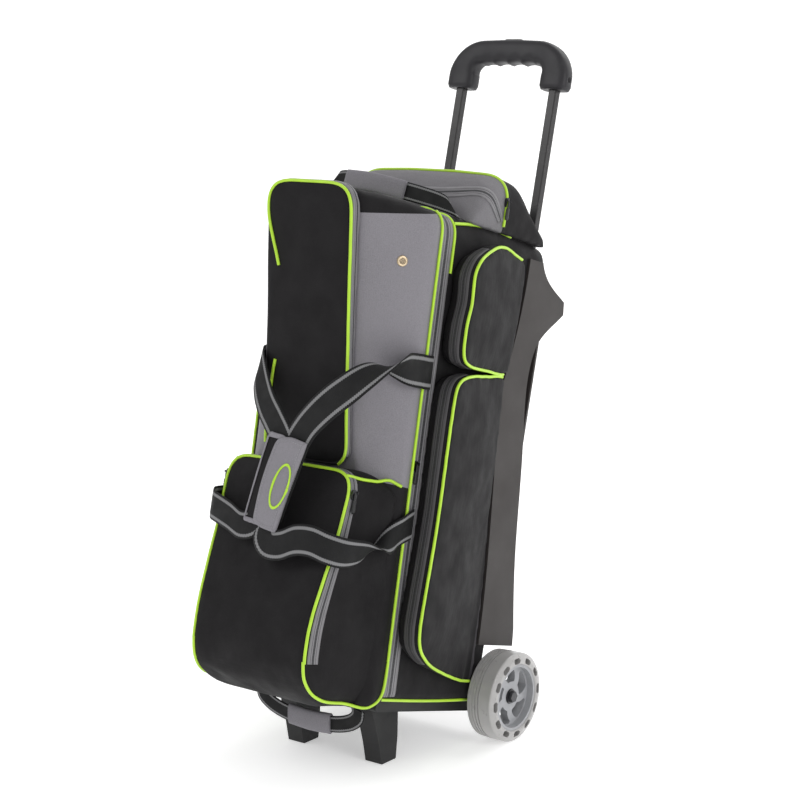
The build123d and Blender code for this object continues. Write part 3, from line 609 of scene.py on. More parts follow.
def webbing_material():
    """Black ribbed webbing with a zigzag gray stitched stripe near each edge."""
    shader = Shader("webbing_striped", Sheen_Weight=0.02, Specular_IOR_Level=0.2)
    along, across = band_place(shader)
    zigzag = shader.math("MULTIPLY", shader.math("PINGPONG", along, 0.0016), 18.0)
    shifted = shader.math("ADD", across, zigzag)
    left = inside(shader, shifted, 0.09, 0.19)
    right = inside(shader, shifted, 0.84, 0.94)
    stripe = shader.math("ADD", left, right)
    shader.colour(shader.blend(stripe, (0.009, 0.009, 0.0095), (0.2, 0.2, 0.205)))
    shader.roughness(shader.blotches(60), 0.5, 0.7)
    rib = shader.math("PINGPONG", along, 0.0011)
    shader.bump(shader.math("MULTIPLY", rib, 900.0), 0.35, 0.0004)
    shader.bump(stripe, 0.5, 0.0005)
    return shader.material


def zip_material(name, tape, track):
    """Zip tape with a dark seam on each side, and the coil's dark track and teeth in the middle."""
    shader = Shader(name, Sheen_Weight=0.02, Specular_IOR_Level=0.25)
    along, across = band_place(shader)
    chain = inside(shader, across, 0.4, 0.6)
    seams = shader.math("ADD", inside(shader, across, 0.24, 0.28), inside(shader, across, 0.72, 0.76))
    teeth = shader.math("PINGPONG", along, 0.0009)
    tooth = shader.math("MULTIPLY", shader.math("GREATER_THAN", teeth, 0.00045), chain)
    base = shader.blend(shader.blotches(60), scaled(tape, 0.85), scaled(tape, 1.15))
    base = shader.blend(seams, base, scaled(tape, 0.25))
    base = shader.blend(chain, base, track)
    shader.colour(shader.blend(tooth, base, scaled(track, 2.6)))
    shader.roughness(shader.blotches(80), 0.4, 0.6)
    shader.bump(tooth, 0.7, 0.0008)
    shader.bump(seams, -0.6, 0.0006)
    return shader.material


def lid_material():
    """Gray side panels with a black top band and a black part below, on one fabric."""
    shader = fabric("lid_polyester", GRAY, crease=0.45)
    q = shader.math("SUBTRACT", shader.along(ZIP_UP), ZIP_FOOT @ ZIP_UP)
    p = shader.math("SUBTRACT", shader.along(ZIP_BACK), ZIP_FOOT @ ZIP_BACK)
    low_line = shader.math("GREATER_THAN", shader.math("ADD", q, shader.math("MULTIPLY", p, 0.14)), 0.2695)
    high_line = shader.math("LESS_THAN", shader.math("SUBTRACT", q, shader.math("MULTIPLY", p, 0.15)), 0.6348)
    gray_part = shader.math("MULTIPLY", low_line, high_line)
    lining = shader.math("GREATER_THAN", p, -0.0005)
    gray = cloth_colour(shader, GRAY)
    black = cloth_colour(shader, BLACK)
    gray_part = shader.math("MULTIPLY", gray_part, shader.math("SUBTRACT", 1.0, lining))
    shader.colour(shader.blend(gray_part, black, gray))
    return shader.material


def top_pocket_material(crest_v):
    """Gray in front of the crest's piping, black behind it."""
    shader = fabric("top_pocket_polyester", GRAY, crease=0.5)
    behind = beyond(shader, BACK, at_body(0, crest_v, 0))
    front_colour = cloth_colour(shader, (0.16, 0.155, 0.165))
    shader.colour(shader.blend(behind, front_colour, cloth_colour(shader, BLACK)))
    return shader.material


def tyre_material():
    shader = Shader("clear_polyurethane", Specular_IOR_Level=0.6, Coat_Weight=0.35, Coat_Roughness=0.25)
    shader.colour(shader.blend(shader.blotches(30, 5.0), (0.3, 0.295, 0.29), (0.44, 0.43, 0.425)))
    shader.roughness(shader.blotches(60, 6.0), 0.25, 0.42)
    shader.bump(shader.blotches(300, 2.0), 0.08, 0.0004)
    return shader.material


piping = piping_material()
striped = webbing_material()
gray_zip = zip_material("gray_zip", (0.2, 0.195, 0.205), (0.03, 0.03, 0.032))
dark_zip = zip_material("dark_zip", (0.075, 0.072, 0.076), (0.02, 0.02, 0.021))
guard_plastic = plastic("guard_plastic", (0.036, 0.0315, 0.03), (0.42, 0.58), 0.1, 1800, 0.25)
frame_plastic = plastic("frame_plastic", (0.012, 0.012, 0.0125), (0.4, 0.6), 0.25, 900)
grip_plastic = plastic("grip_plastic", (0.024, 0.023, 0.026), (0.38, 0.52), 0.3, 1200)
button_plastic = plastic("button_plastic", (0.02, 0.02, 0.021), (0.3, 0.42), 0.15, 1200)
hub_plastic = plastic("hub_plastic", (0.34, 0.345, 0.36), (0.28, 0.4), 0.06, 700, 0.3)
tube_paint = plastic("tube_anodised", (0.02, 0.0185, 0.0195), (0.2, 0.3), 0.05, 2500, 0.8)
screw_metal = metal("black_zinc", (0.1, 0.1, 0.105))
bright_metal = metal("bearing_steel", (0.5, 0.5, 0.52))
zip_enamel = metal("zip_enamel", (0.06, 0.06, 0.065), (0.3, 0.45))
brass = metal("eyelet_brass", (0.62, 0.5, 0.34))


def beyond(shader, direction, point):
    """1 where the surface lies further along a direction than a point, else 0."""
    return shader.math("GREATER_THAN", shader.along(direction), point @ direction)


def faced_material(name, direction, point, face, side):
    """One colour further along a direction than a point, and another before it."""
    shader = fabric(name, side, crease=0.25)
    share = beyond(shader, direction, point)
    shader.colour(shader.blend(share, cloth_colour(shader, side), cloth_colour(shader, face)))
    return shader.material


# ------------------------------------------------------------------ tub and lid
def inset(loop, amount):
    """A flat loop moved inwards; its centre is taken as its middle point."""
    centre = middle(loop)
    result = []
    n = len(loop)
    for i, point in enumerate(loop):
        along = loop[(i + 1) % n] - loop[i - 1]
        normal = Vector((-along[1], along[0])).normalized()
        if normal.dot(centre - point) < 0:
            normal = -normal
        result.append(point + normal * amount)
    return result


def shrunk(loop, centre, shares):
    return [[centre + (p - centre) * s for p in loop] for s in shares]


def tub_front(w):
    return -252.0 - 0.0524 * w


tub_corners = [(-TUB_HALF, TUB_LOW), (TUB_HALF, TUB_LOW), (TUB_HALF, TUB_HIGH), (-TUB_HALF, TUB_HIGH)]
tub_outline = rounded_loop(tub_corners, [14, 14, 30, 30], 26, 8)
inner_outline = inset(tub_outline, WALL)
tub_loops = [[at_body(p[0], TUB_BACK - WALL, p[1]) for p in inner_outline]]
tub_loops.append([at_body(p[0], tub_front(p[1]), p[1]) for p in inner_outline])
for share in (0.0, 0.02, 0.15, 0.3, 0.45, 0.6, 0.75, 0.9, 0.985, 1.0):
    bulge = 1.6 * math.sin(math.pi * share)
    loop = inset(tub_outline, 2.0 if share == 1.0 else -bulge)
    crown = 9 * math.sin(math.pi * share)
    tub_loops.append(
        [
            at_body(p[0], tub_front(p[1]) * (1 - share) + TUB_BACK * share, p[1] + crown * (p[1] > 560))
            for p in loop
        ]
    )
tub = closed_form("tub", tub_loops, black_cloth)
finished(tub, "chassis", "black_fabric", "tub_shell")

LID_DEPTHS = [(-22.0, 40.0), (190.0, 41.0), (325.0, 61.0), (705.0, 116.0)]  # height, depth


def lid_depth(q):
    for (q0, d0), (q1, d1) in zip(LID_DEPTHS, LID_DEPTHS[1:]):
        if q <= q1:
            return d0 + (d1 - d0) * (q - q0) / (q1 - q0)
    return LID_DEPTHS[-1][1]


LID_FRONT_TOP = 650.0
lid_back = rounded_loop(
    [
        (-130, -22), (0, -22), (130, -22), (130, 190), (130, 325), (130, 640), (0, 640), (-130, 640),
        (-130, 325), (-130, 190)
    ],
    [20, 1, 20, 30, 30, 30, 1, 30, 30, 30],
    12,
    6,
)
lid_front = rounded_loop(
    [(-120, -22), (0, -22), (120, -22), (112, 190), (70, 325), (70, LID_FRONT_TOP), (0, LID_FRONT_TOP)]
    + [(-70, LID_FRONT_TOP), (-70, 325), (-112, 190)],
    [20, 1, 20, 40, 60, 30, 1, 30, 60, 40],
    12,
    6,
)


def lid_station(share, swell):
    loop = inset(between(lid_back, lid_front, share), -swell)
    return [at_lid(p[0], -16 - (lid_depth(f[1]) - 16) * share, p[1]) for p, f in zip(loop, lid_front)]


def on_lid_front(point, lift=0.0):
    return at_lid(point[0], -lid_depth(point[1]) - lift, point[1])


lid_centre = Vector((0, 330))
lid_loops = [
    [on_lid_front(p, -WALL) for p in ring]
    for ring in shrunk(inset(lid_front, 8), lid_centre, (0.2, 0.5, 0.8, 1))
]
lid_loops += [
    [at_lid(p[0], -3, p[1]) for p in inset(lid_back, WALL)], [at_lid(p[0], -3, p[1]) for p in lid_back]
]
for share in (0, 0.12, 0.25, 0.38, 0.5, 0.62, 0.75, 0.88, 0.97):
    lid_loops.append(lid_station(share, 4.0 * math.sin(math.pi * share)))
lid_loops += [
    [on_lid_front(p, 0.5) for p in ring]
    for ring in shrunk(inset(lid_front, 3), lid_centre, (1, 0.96, 0.88, 0.78, 0.66, 0.54, 0.42, 0.3, 0.2))
]
lid = closed_form("lid", lid_loops, lid_material(), 3)
finished(lid, "lid", "gray_fabric", "lid_shell")
lid_surface, tub_surface = Surface(lid), Surface(tub)


def lid_rim(p, half=130.5, high=641.0, radius=30.0, start=-10.0):
    """Open line round the rim from low on the right, over the top, to low on the left."""
    corners = [
        (half, start), (half, high - radius), (half - radius * 0.3, high - radius * 0.3),
        (half - radius, high)
    ]
    right = [Vector(c) for c in corners]
    line = smooth_path([(x, p, q) for x, q in right], 10)
    left = [Vector((-c.x, c.y, c.z)) for c in reversed(line)]
    return [at_lid(*c) for c in line + left]


piping_on("rim_piping", lid_surface, lid_rim(-3.2, start=40.0), piping, "lid", lift=1.0)

band_on("main_zip_band", tub_surface, lid_rim(-1), lid_rim(25), gray_zip, "chassis", lift=0.8, across=9)
tub_edge = [
    at_body(p[0], tub_front(p[1]) + 28, p[1])
    for p in (
        (131, 560), (130.5, 600), (127, 622), (113, 634), (98, 636), (60, 636), (0, 636), (-60, 636),
        (-98, 636), (-113, 634), (-127, 622), (-130.5, 600), (-131, 560)
    )
]
piping_on("tub_front_piping", tub_surface, smooth_path(tub_edge, 8), piping, "chassis", lift=1.2)
for side, word in ((1, "right"), (-1, "left")):
    edge = [
        at_body(side * 126, -256, 627), at_body(side * 127, -222, 634), at_body(side * 127, -186, 638),
        at_body(side * 128, -150, 639), at_body(side * 129, -117, 637)
    ]
    piping_on(f"tub_top_piping_{word}", tub_surface, smooth_path(edge, 8), piping, "chassis", lift=1.4)
    edge = [
        at_body(side * 124, -254, -12), at_body(side * 124, -180, -13), at_body(side * 124, -100, -13),
        at_body(side * 124, -40, -12)
    ]
    piping_on(f"tub_bottom_piping_{word}", tub_surface, smooth_path(edge, 8), piping, "chassis", lift=1.4)

# ------------------------------------------------------------------ shoe pocket
shoe_outline = rounded_loop(
    [(-119, -26), (0, -26), (119, -26), (119, 286), (0, 286), (-119, 286)], [40, 1, 40, 36, 1, 36], 22, 8
)
SHOE_BACK = 40.2
SHOE_PROFILE = [
    (-26, 84), (-14, 104), (2, 124), (18, 134), (40, 139), (75, 138), (102, 134), (150, 122), (190, 111),
    (240, 103), (286, 95)
]
TAPER = 0.24


def shoe_depth(q):
    """Depth of the shoe pocket's front, which bulges low down and leans back above."""
    for (q0, d0), (q1, d1) in zip(SHOE_PROFILE, SHOE_PROFILE[1:]):
        if q <= q1:
            t = max((q - q0) / (q1 - q0), 0)
            return d0 + (d1 - d0) * t
    return SHOE_PROFILE[-1][1]


def shoe_ring(share, inwards=0.0):
    ring = []
    for point in inset(shoe_outline, inwards):
        depth = (shoe_depth(point[1]) - SHOE_BACK) * share
        ring.append(at_lid(point[0] * (1 - depth * TAPER / 119), -SHOE_BACK - depth, point[1]))
    return ring


def shoe_skirt(p, half, high):
    """The pocket's sides lie over the lid's slanted sides behind its own foot."""
    return [
        at_lid(v[0] * half / 119, p, min(v[1], 240) + max(v[1] - 240, 0) * (high - 240) / 46)
        for v in shoe_outline
    ]


shoe_loops = [shoe_skirt(-21, 128.6, 274), shoe_skirt(-31, 125, 279), shoe_skirt(-SHOE_BACK, 121.2, 283)]
shoe_loops += [shoe_ring(s) for s in (0.2, 0.4, 0.6, 0.8, 0.95)] + [shoe_ring(1.0, 4)]
shoe_face = inset(shoe_outline, 4)
for ring in shrunk(shoe_face, Vector((0, 120)), (0.85, 0.7, 0.5, 0.3)):
    depths = [shoe_depth(p[1]) for p in ring]
    shoe_loops.append(
        [at_lid(p[0] * (1 - (d - SHOE_BACK) * TAPER / 119), -d, p[1]) for p, d in zip(ring, depths)]
    )
shoe = closed_form("shoe_pocket_body", shoe_loops, black_cloth, 3)
shoe_seam = shoe_ring(0.97, 0.5)
padding(
    shoe, [shoe_seam + shoe_seam[:1], shoe_ring(0.845) + shoe_ring(0.845)[:1]], cap=9,
    fixed=lambda co: (co - ZIP_FOOT) @ ZIP_BACK > -0.048
)
finished(shoe, "lid", "black_fabric", "shoe_pocket", fill=0.4)
shoe_surface = Surface(shoe)


def part_of(loop, low_q):
    """The loop's stretch above a height, as an open path from right to left."""
    height = [(p - ZIP_FOOT) @ ZIP_UP / MM for p in loop]
    n = len(loop)
    start = next(i for i in range(n) if height[i] >= low_q and height[i - 1] < low_q)
    result = []
    for k in range(n):
        i = (start + k) % n
        if height[i] < low_q:
            break
        result.append(loop[i])
    return result


piping_on("shoe_front_piping", shoe_surface, part_of(shoe_seam, 34), piping, "lid", lift=1.2)
band_on(
    "shoe_zip_band", shoe_surface, part_of(shoe_ring(0.93), 34), part_of(shoe_ring(0.76), 34), gray_zip,
    "lid", lift=0.7, across=9
)
for side, word in ((1, "right"), (-1, "left")):
    gusset = [
        at_lid(side * x, p, q)
        for x, p, q in (
            (96, -138, 38), (97, -134, 14), (99, -120, -4), (104, -96, -16), (111, -68, -25),
            (119, -42, -27), (126, -20, -22), (130, -6, 0), (131, -3, 40)
        )
    ]
    piping_on(f"gusset_piping_{word}", Surface(shoe, lid), smooth_path(gusset, 8), piping, "lid", lift=1.2)
    gusset = [
        at_lid(side * x, p, q)
        for x, p, q in (
            (97, -100, 287), (104, -90, 286), (112, -74, 282), (120, -42, 281), (126, -30, 276),
            (129, -19, 272)
        )
    ]
    piping_on(f"shoe_top_piping_{word}", Surface(shoe, lid), smooth_path(gusset, 8), piping, "lid", lift=1.2)

# ------------------------------------------------------------------ front pocket
SLOPE = 0.1447
PANEL_FOOT = Vector((-61.0, 325.0))
PANEL_UP = Vector((-SLOPE, 1.0)).normalized()
PANEL_OUT = Vector((-PANEL_UP[1], PANEL_UP[0]))
front_outline = rounded_loop(
    [
        (-72, -36), (0, -36), (72, -36), (70, 20), (70, 200), (71.5, 335), (0, 335), (-71.5, 335),
        (-70, 200), (-70, 20)
    ],
    [30, 1, 30, 20, 50, 42, 1, 42, 50, 20],
    12,
    7,
)


def front_thickness(s):
    return 13 + 8 * min(max(s / 300, 0), 1)


def on_panel(point, out):
    place = PANEL_FOOT + PANEL_UP * point[1] + PANEL_OUT * (out + 0.7)
    return at_lid(point[0], place[0], place[1])


front_loops = [
    [on_panel(p, front_thickness(p[1]) * share) for p in inset(front_outline, i)]
    for share, i in ((0, 0), (0.33, -1), (0.66, -1), (0.9, 0), (1, 3))
]
for ring in shrunk(inset(front_outline, 3), Vector((0, 160)), FACE_SHARES):
    front_loops.append([on_panel(p, front_thickness(p[1]) + 1) for p in ring])
panel_normal = (at_lid(0, PANEL_OUT[0], PANEL_OUT[1]) - at_lid(0, 0, 0)).normalized()
front_cloth = faced_material(
    "front_pocket_polyester", panel_normal, on_panel((0, 0), 12.0), BLACK, CHARCOAL
)
front = closed_form("front_pocket_body", front_loops, front_cloth, 3)
front_seam = [on_panel(p, front_thickness(p[1]) * 0.9) for p in inset(front_outline, 0.5)]
front_foot = panel_normal @ on_panel((0, 0), 3)
padding(front, [front_seam + front_seam[:1]], cap=7, fixed=lambda co: co @ panel_normal < front_foot)
finished(front, "lid", "black_fabric", "front_pocket", fill=0.3)
front_surface = Surface(front)
front_run = part_of(front_seam, 290)
front_line = [p for p in front_run if p.x > 0 or (p - ZIP_FOOT) @ ZIP_UP > 0.62]
front_line += [
    on_panel(p, front_thickness(p[1])) for p in ((-68, 296), (-64, 276), (-57, 254), (-50, 236), (-46, 222))
]
piping_on("front_piping", front_surface, relaxed(front_line), piping, "lid", lift=1.2)
foot_line = [
    on_panel(p, front_thickness(p[1])) for p in ((-50, 96), (-54, 80), (-59, 52), (-64, 18), (-68, -18))
]
piping_on("front_foot_piping", front_surface, smooth_path(foot_line, 8), piping, "lid", lift=1.2)
band_on(
    "front_zip_band", front_surface, part_of(
        [on_panel(p, front_thickness(p[1]) * 0.78) for p in front_outline], 300
    ),
    part_of(
        [on_panel(p, front_thickness(p[1]) * 0.1) for p in front_outline], 300
    ), gray_zip, "lid", lift=0.7, across=7,
)

# ------------------------------------------------------------------ side pockets
WEDGE_START, WEDGE_SLOPE = -62.0, 38.0 / 188.0
REAR_EDGE = {"lower": lambda w: -58 if w < 60 else -104, "upper": lambda w: -96}
POCKETS = {
    "lower": [
        (-186, 35), (-214, 46), (-238, 62), (-248, 90), (-247, 150), (-245, 227), (-249, 310), (-252, 392),
        (-244, 418), (-216, 430)
    ]
    + [
        (-155, 437), (-98, 441), (-90, 415), (-77, 298), (-61, 186), (-53, 90), (-50, 22), (-64, 12),
        (-130, 22)
    ],
    "upper": [
        (-220, 441), (-244, 452), (-250, 490), (-245, 527), (-249, 560), (-238, 582), (-218, 596),
        (-190, 609), (-160, 614), (-118, 609)
    ]
    + [(-84, 600), (-76, 540), (-83.5, 470), (-94, 444), (-160, 441)],
}
for side, word in ((1, "right"), (-1, "left")):
    face_normal = (at_body(side, 0, 0) + (at_body(0, -WEDGE_SLOPE, 0) - AXLE) - AXLE).normalized()
    face_point = at_body(side * (134 - 4), WEDGE_START, 300)
    wedge_cloth = faced_material(f"side_pocket_polyester_{word}", face_normal, face_point, BLACK, CHARCOAL)
    for level, points in POCKETS.items():
        outline = [Vector((p.x, p.y)) for p in smooth_path([(v, w, 0) for v, w in points], 6, True)]

        def wedge(point, share, side=side):
            outside = 134 + (WEDGE_START - point[0]) * WEDGE_SLOPE - 2.5
            return at_body(side * (129.5 + max(outside - 129.5, 1.5) * share), point[0], point[1])

        loops = [
            [wedge(p, s) for p in inset(outline, i)]
            for s, i in ((0, 1), (0.3, 0), (0.6, 0), (0.85, 0.3), (0.97, 1.5), (1, 4))
        ]
        loops += [[wedge(p, 1) for p in r] for r in shrunk(inset(outline, 4), middle(outline), FACE_SHARES)]
        pocket = closed_form(f"{word}_{level}_pocket_body", loops, wedge_cloth, 3)
        seam = [wedge(p, 0.96) for p in inset(outline, 0.5)]
        foot = 0.1315
        padding(pocket, [seam + seam[:1]], cap=8, fixed=lambda co, foot=foot: abs(co.x) < foot)
        finished(pocket, "chassis", "black_fabric", f"{word}_{level}_pocket", fill=0.4)
        surface = Surface(pocket)
        count = len(seam)
        rear = max(range(count), key=lambda i: outline[i][0])
        path = [seam[(rear + k) % count] for k in range(count)]
        flat = [outline[(rear + k) % count] for k in range(count)]
        run = [p for p, o in zip(path, flat) if o[0] < REAR_EDGE[level](o[1])]
        piping_on(f"{word}_{level}_piping", surface, run, piping, "chassis", lift=1.0)
        low_end = [i for i in range(count) if outline[i][0] < -200]
        low_end.sort(key=lambda i: outline[i][1])
        band_a = [wedge(outline[i], 0.75) for i in low_end]
        band_b = [wedge(outline[i], 0.32) for i in low_end]
        band_on(f"{word}_{level}_zip_band", surface, band_a, band_b, dark_zip, "chassis", lift=0.6, across=9)

# ------------------------------------------------------------------ top pocket
ARCH = [
    (-222, 636), (-214, 652), (-200, 676), (-184, 699), (-168, 709), (-152, 715), (-132, 716), (-112, 715),
    (-90, 694), (-64, 669), (-38, 645)
]
CREST_V = -150.0


def arch_loop(v, top):
    tall = top - 633
    corner = 44 if v < CREST_V else 66
    corners = [(-131, 633), (131, 633), (131, top), (-131, top)]
    loop = rounded_loop(corners, [1, 1, min(corner, tall * 0.92), min(corner, tall * 0.92)], 24, 9)
    return [at_body(p[0], v, p[1] - max(p[1] - 640, 0) * 0.0006 * max(abs(p[0]) - 40, 0)) for p in loop]


top_pocket = closed_form(
    "top_pocket_body", [arch_loop(v, w) for v, w in ARCH], top_pocket_material(CREST_V), 5
)
crest = arch_loop(CREST_V, 715)
padding(top_pocket, [crest + crest[:1]], cap=7, fixed=lambda co: (co - AXLE) @ UP < 0.640)
finished(top_pocket, "chassis", "gray_fabric", "top_pocket", fill=0.3)
top_surface = Surface(top_pocket)
arch_path = [p for p in crest if (p - AXLE) @ UP > 0.642]
arch_path.sort(key=lambda p: math.atan2((p - at_body(0, 0, 640)) @ UP, p.x))
piping_on("crest_piping", top_surface, arch_path, piping, "chassis", lift=1.4)
zip_top = [
    at_body(*p)
    for p in (
        (125, -150, 650), (128, -172, 676), (112, -186, 688), (80, -192, 686), (40, -194, 682),
        (0, -194, 681), (-40, -194, 682), (-90, -192, 686)
    )
]
zip_low = [
    at_body(*p)
    for p in (
        (125, -164, 646), (130, -186, 664), (112, -198, 674), (80, -204, 671), (40, -206, 667),
        (0, -206, 666), (-40, -206, 667), (-90, -204, 671)
    )
]
band_on(
    "top_zip_band", top_surface, smooth_path(zip_top, 8), smooth_path(zip_low, 8), gray_zip, "chassis",
    lift=0.7, across=9
)

# ------------------------------------------------------------------ ball cups
CUP_HALF, CUP_HIGH, CUP_BACK, CUP_FRONT = 108.0, 190.0, -32.3, -94.3
BALL_R = 110.0


def cup(name, middle_w, node):
    """Foam block with a ball's hollow in its front face and soft edges."""
    columns, rows = 37, 33
    vertices, faces = [], []
    for j in range(rows):
        for i in range(columns):
            x = (i / (columns - 1) * 2 - 1) * CUP_HALF
            w = (j / (rows - 1) - 0.5) * CUP_HIGH
            front = CUP_FRONT
            reach = BALL_R**2 - x * x - w * w
            if reach > 0:
                front = max(front, CUP_BACK - 10 - BALL_R + math.sqrt(reach))
            edge = min(CUP_HALF - abs(x), CUP_HIGH / 2 - abs(w))
            front += 8 * (1 - min(edge / 8, 1)) ** 2
            vertices.append(at_body(x, front, middle_w + w))
    count = columns * rows
    vertices += [
        at_body(
            (i / (columns - 1) * 2 - 1) * CUP_HALF, CUP_BACK, middle_w + (j / (rows - 1) - 0.5) * CUP_HIGH
        )
        for j in range(rows)
        for i in range(columns)
    ]
    for j in range(rows - 1):
        for i in range(columns - 1):
            a = j * columns + i
            quad = (a, a + 1, a + 1 + columns, a + columns)
            faces.append(quad)
            faces.append(tuple(count + k for k in reversed(quad)))
    rim_line = [i for i in range(columns)] + [j * columns + columns - 1 for j in range(1, rows)]
    rim_line += [(rows - 1) * columns + i for i in range(columns - 2, -1, -1)] + [
        j * columns for j in range(rows - 2, 0, -1)
    ]
    for a, b in zip(rim_line, rim_line[1:] + rim_line[:1]):
        faces.append((b, a, a + count, b + count))
    finished(new_object(name, vertices, faces, foam_cloth), "chassis", "foam", node, fill=1.0)


for word, w in (("lower", 98.0), ("middle", 310.0), ("upper", 522.0)):
    cup(f"{word}_cup_foam", w, f"{word}_ball_cup")
lip = lid_rim(-1.2, half=127.5, high=634.0, start=-12.0)
inner_lip = lid_rim(-1.2, half=120.5, high=627.0, radius=24.0, start=-12.0)
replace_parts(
    band_on("tub_zip_tape", tub_surface, lip, inner_lip, dark_zip, "chassis", lift=0.6, across=5),
    "zip_tape"
)

# ------------------------------------------------------------------ carry straps
def strap(name, stations, place=at_lid, width=WEBBING_WIDE, thickness=2.2):
    return webbing(name, stations, striped, width, thickness, place)


ANCHOR_P = 10.0
upper_right = [
    ((30, -134.0, 296), (-0.92, 0, 0.35)),
    ((40, -136.0, 318), (-0.8, 0.05, 0.6)),
    ((56, -137.0, 342), (-0.7, 0.1, 0.72)),
    ((80, -135, 368), (-0.58, 0.05, 0.8)),
    ((104, -126, 392), (-0.6, 0.1, 0.8)),
    ((119, -108, 412), (-0.75, 0.3, 0.6)),
    ((127, -86, 424), (-0.85, 0.45, 0.15)),
    ((132, -62, 427), (-0.7, 0.4, -0.6)),
    ((135.0, -36, 426), (-0.1, 0.2, -1)),
    ((135.5, -16, 425.5), (0, 0, -1)),
    ((135.5, -4, 425), (0, 0, -1)),
    ((133.0, ANCHOR_P, 425), (0, 0, -1)),
]
lower_right = [
    ((8, -134.0, 206), (0.97, 0, 0.2)),
    ((6, -137.5, 190), (0.85, 0, 0.5)),
    ((16, -140, 179), (0.45, 0, 0.9)),
    ((36, -141, 180), (0.0, 0, 1)),
    ((60, -141, 190), (-0.1, 0.0, 1)),
    ((84, -139, 192), (0.05, 0.0, 1)),
    ((106, -131, 186), (0.1, 0.0, 1)),
    ((121, -112, 182), (0.25, -0.1, 0.95)),
    ((129, -86, 184), (0.5, -0.3, 0.75)),
    ((133, -62, 191), (0.8, -0.5, 0.05)),
    ((135, -40, 202), (0.5, -0.3, -0.8)),
    ((135.5, -20, 212), (0, -0.1, -1)),
    ((135.5, -5, 219), (0, -0.1, -1)),
    ((133.0, ANCHOR_P, 223), (0, 0, -1)),
]
for name, stations, wide in (("right_strap_upper", upper_right, 45), ("right_strap_lower", lower_right, 41)):
    piece = strap(name, stations, width=wide)
    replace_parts(piece, "right_carry_strap")
    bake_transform(piece)

upper_left = [
    ((22, -134.0, 300), (0.9, 0, 0.4)),
    ((10, -135.0, 320), (0.8, 0.0, 0.6)),
    ((-8, -131.0, 338), (0.66, 0.0, 0.75)),
    ((-30, -123, 356), (0.5, 0.05, 0.87)),
    ((-50, -113, 376), (0.42, 0.1, 0.9)),
    ((-65, -104, 396), (0.3, 0.1, 0.95)),
    ((-75, -94, 409), (0.1, 0.1, 1)),
    ((-84, -80, 414), (0, 0, 1)),
    ((-98, -60, 416), (0, 0, 1)),
    ((-116, -36, 417), (0, 0, 1)),
    ((-133.5, -14, 418), (0, 0, 1)),
    ((-134.5, -5, 418), (0, 0, 1)),
]
lower_left = [
    ((-12, -134.0, 214), (-0.95, 0, 0.3)),
    ((-22, -135.5, 200), (-0.6, 0, 0.8)),
    ((-40, -135, 196), (-0.1, 0, 1)),
    ((-62, -133, 204), (0.05, 0, 1)),
    ((-84, -129, 210), (0.08, 0, 1)),
    ((-102, -123, 214), (0.05, 0, 1)),
    ((-113, -110, 218), (0, 0, 1)),
    ((-119, -84, 220), (0, 0, 1)),
    ((-126, -52, 222), (0, 0, 1)),
    ((-134.5, -20, 224), (0, 0, 1)),
    ((-134.0, -5, 226), (0, 0, 1)),
]
for name, stations in (("left_strap_upper", upper_left), ("left_strap_lower", lower_left)):
    piece = strap(name, stations)
    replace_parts(piece, "left_carry_strap")
    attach(piece, "lid")
# the webbing's bundle inside the wrap grip
for name, x, tilt in (("right_strap_grip", 20, 0.25), ("left_strap_grip", 8, -0.1)):
    stations = [
        ((x + 15, -134, 306), (1, tilt, 0)), ((x, -134, 256), (1, tilt, 0)),
        ((x - 14, -134, 208), (1, tilt, 0))
    ]
    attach(strap(name, stations, thickness=3), "lid")

# ------------------------------------------------------------------ wrap grip
def pad_strip(name, outline, depth_at, thickness, material, body):
    """Padded cloth pad: an outline in (x, q) set on a curved depth, with soft edges."""

    def layer(ring, side):
        return [at_lid(p[0], depth_at(p[0], p[1]) - side * thickness / 2, p[1]) for p in ring]

    edge = ((3, -1.0), (0.6, -0.8), (0, 0), (0.6, 0.8), (3, 1.0))
    rings = shrunk(inset(outline, 3), middle(outline), FACE_SHARES)
    loops = [layer(ring, -1.0) for ring in reversed(rings)]
    loops += [layer(inset(outline, amount), side) for amount, side in edge]
    loops += [layer(ring, 1.0) for ring in rings]
    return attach(closed_form(name, loops, material, 3), body)


def wrap_depth(x, q):
    across = (x - 26 - (q - 256) * 0.26) / 34
    return -141.5 + 4.5 * across * across - 1.2 * math.sin((q - 186) / 132 * math.pi)


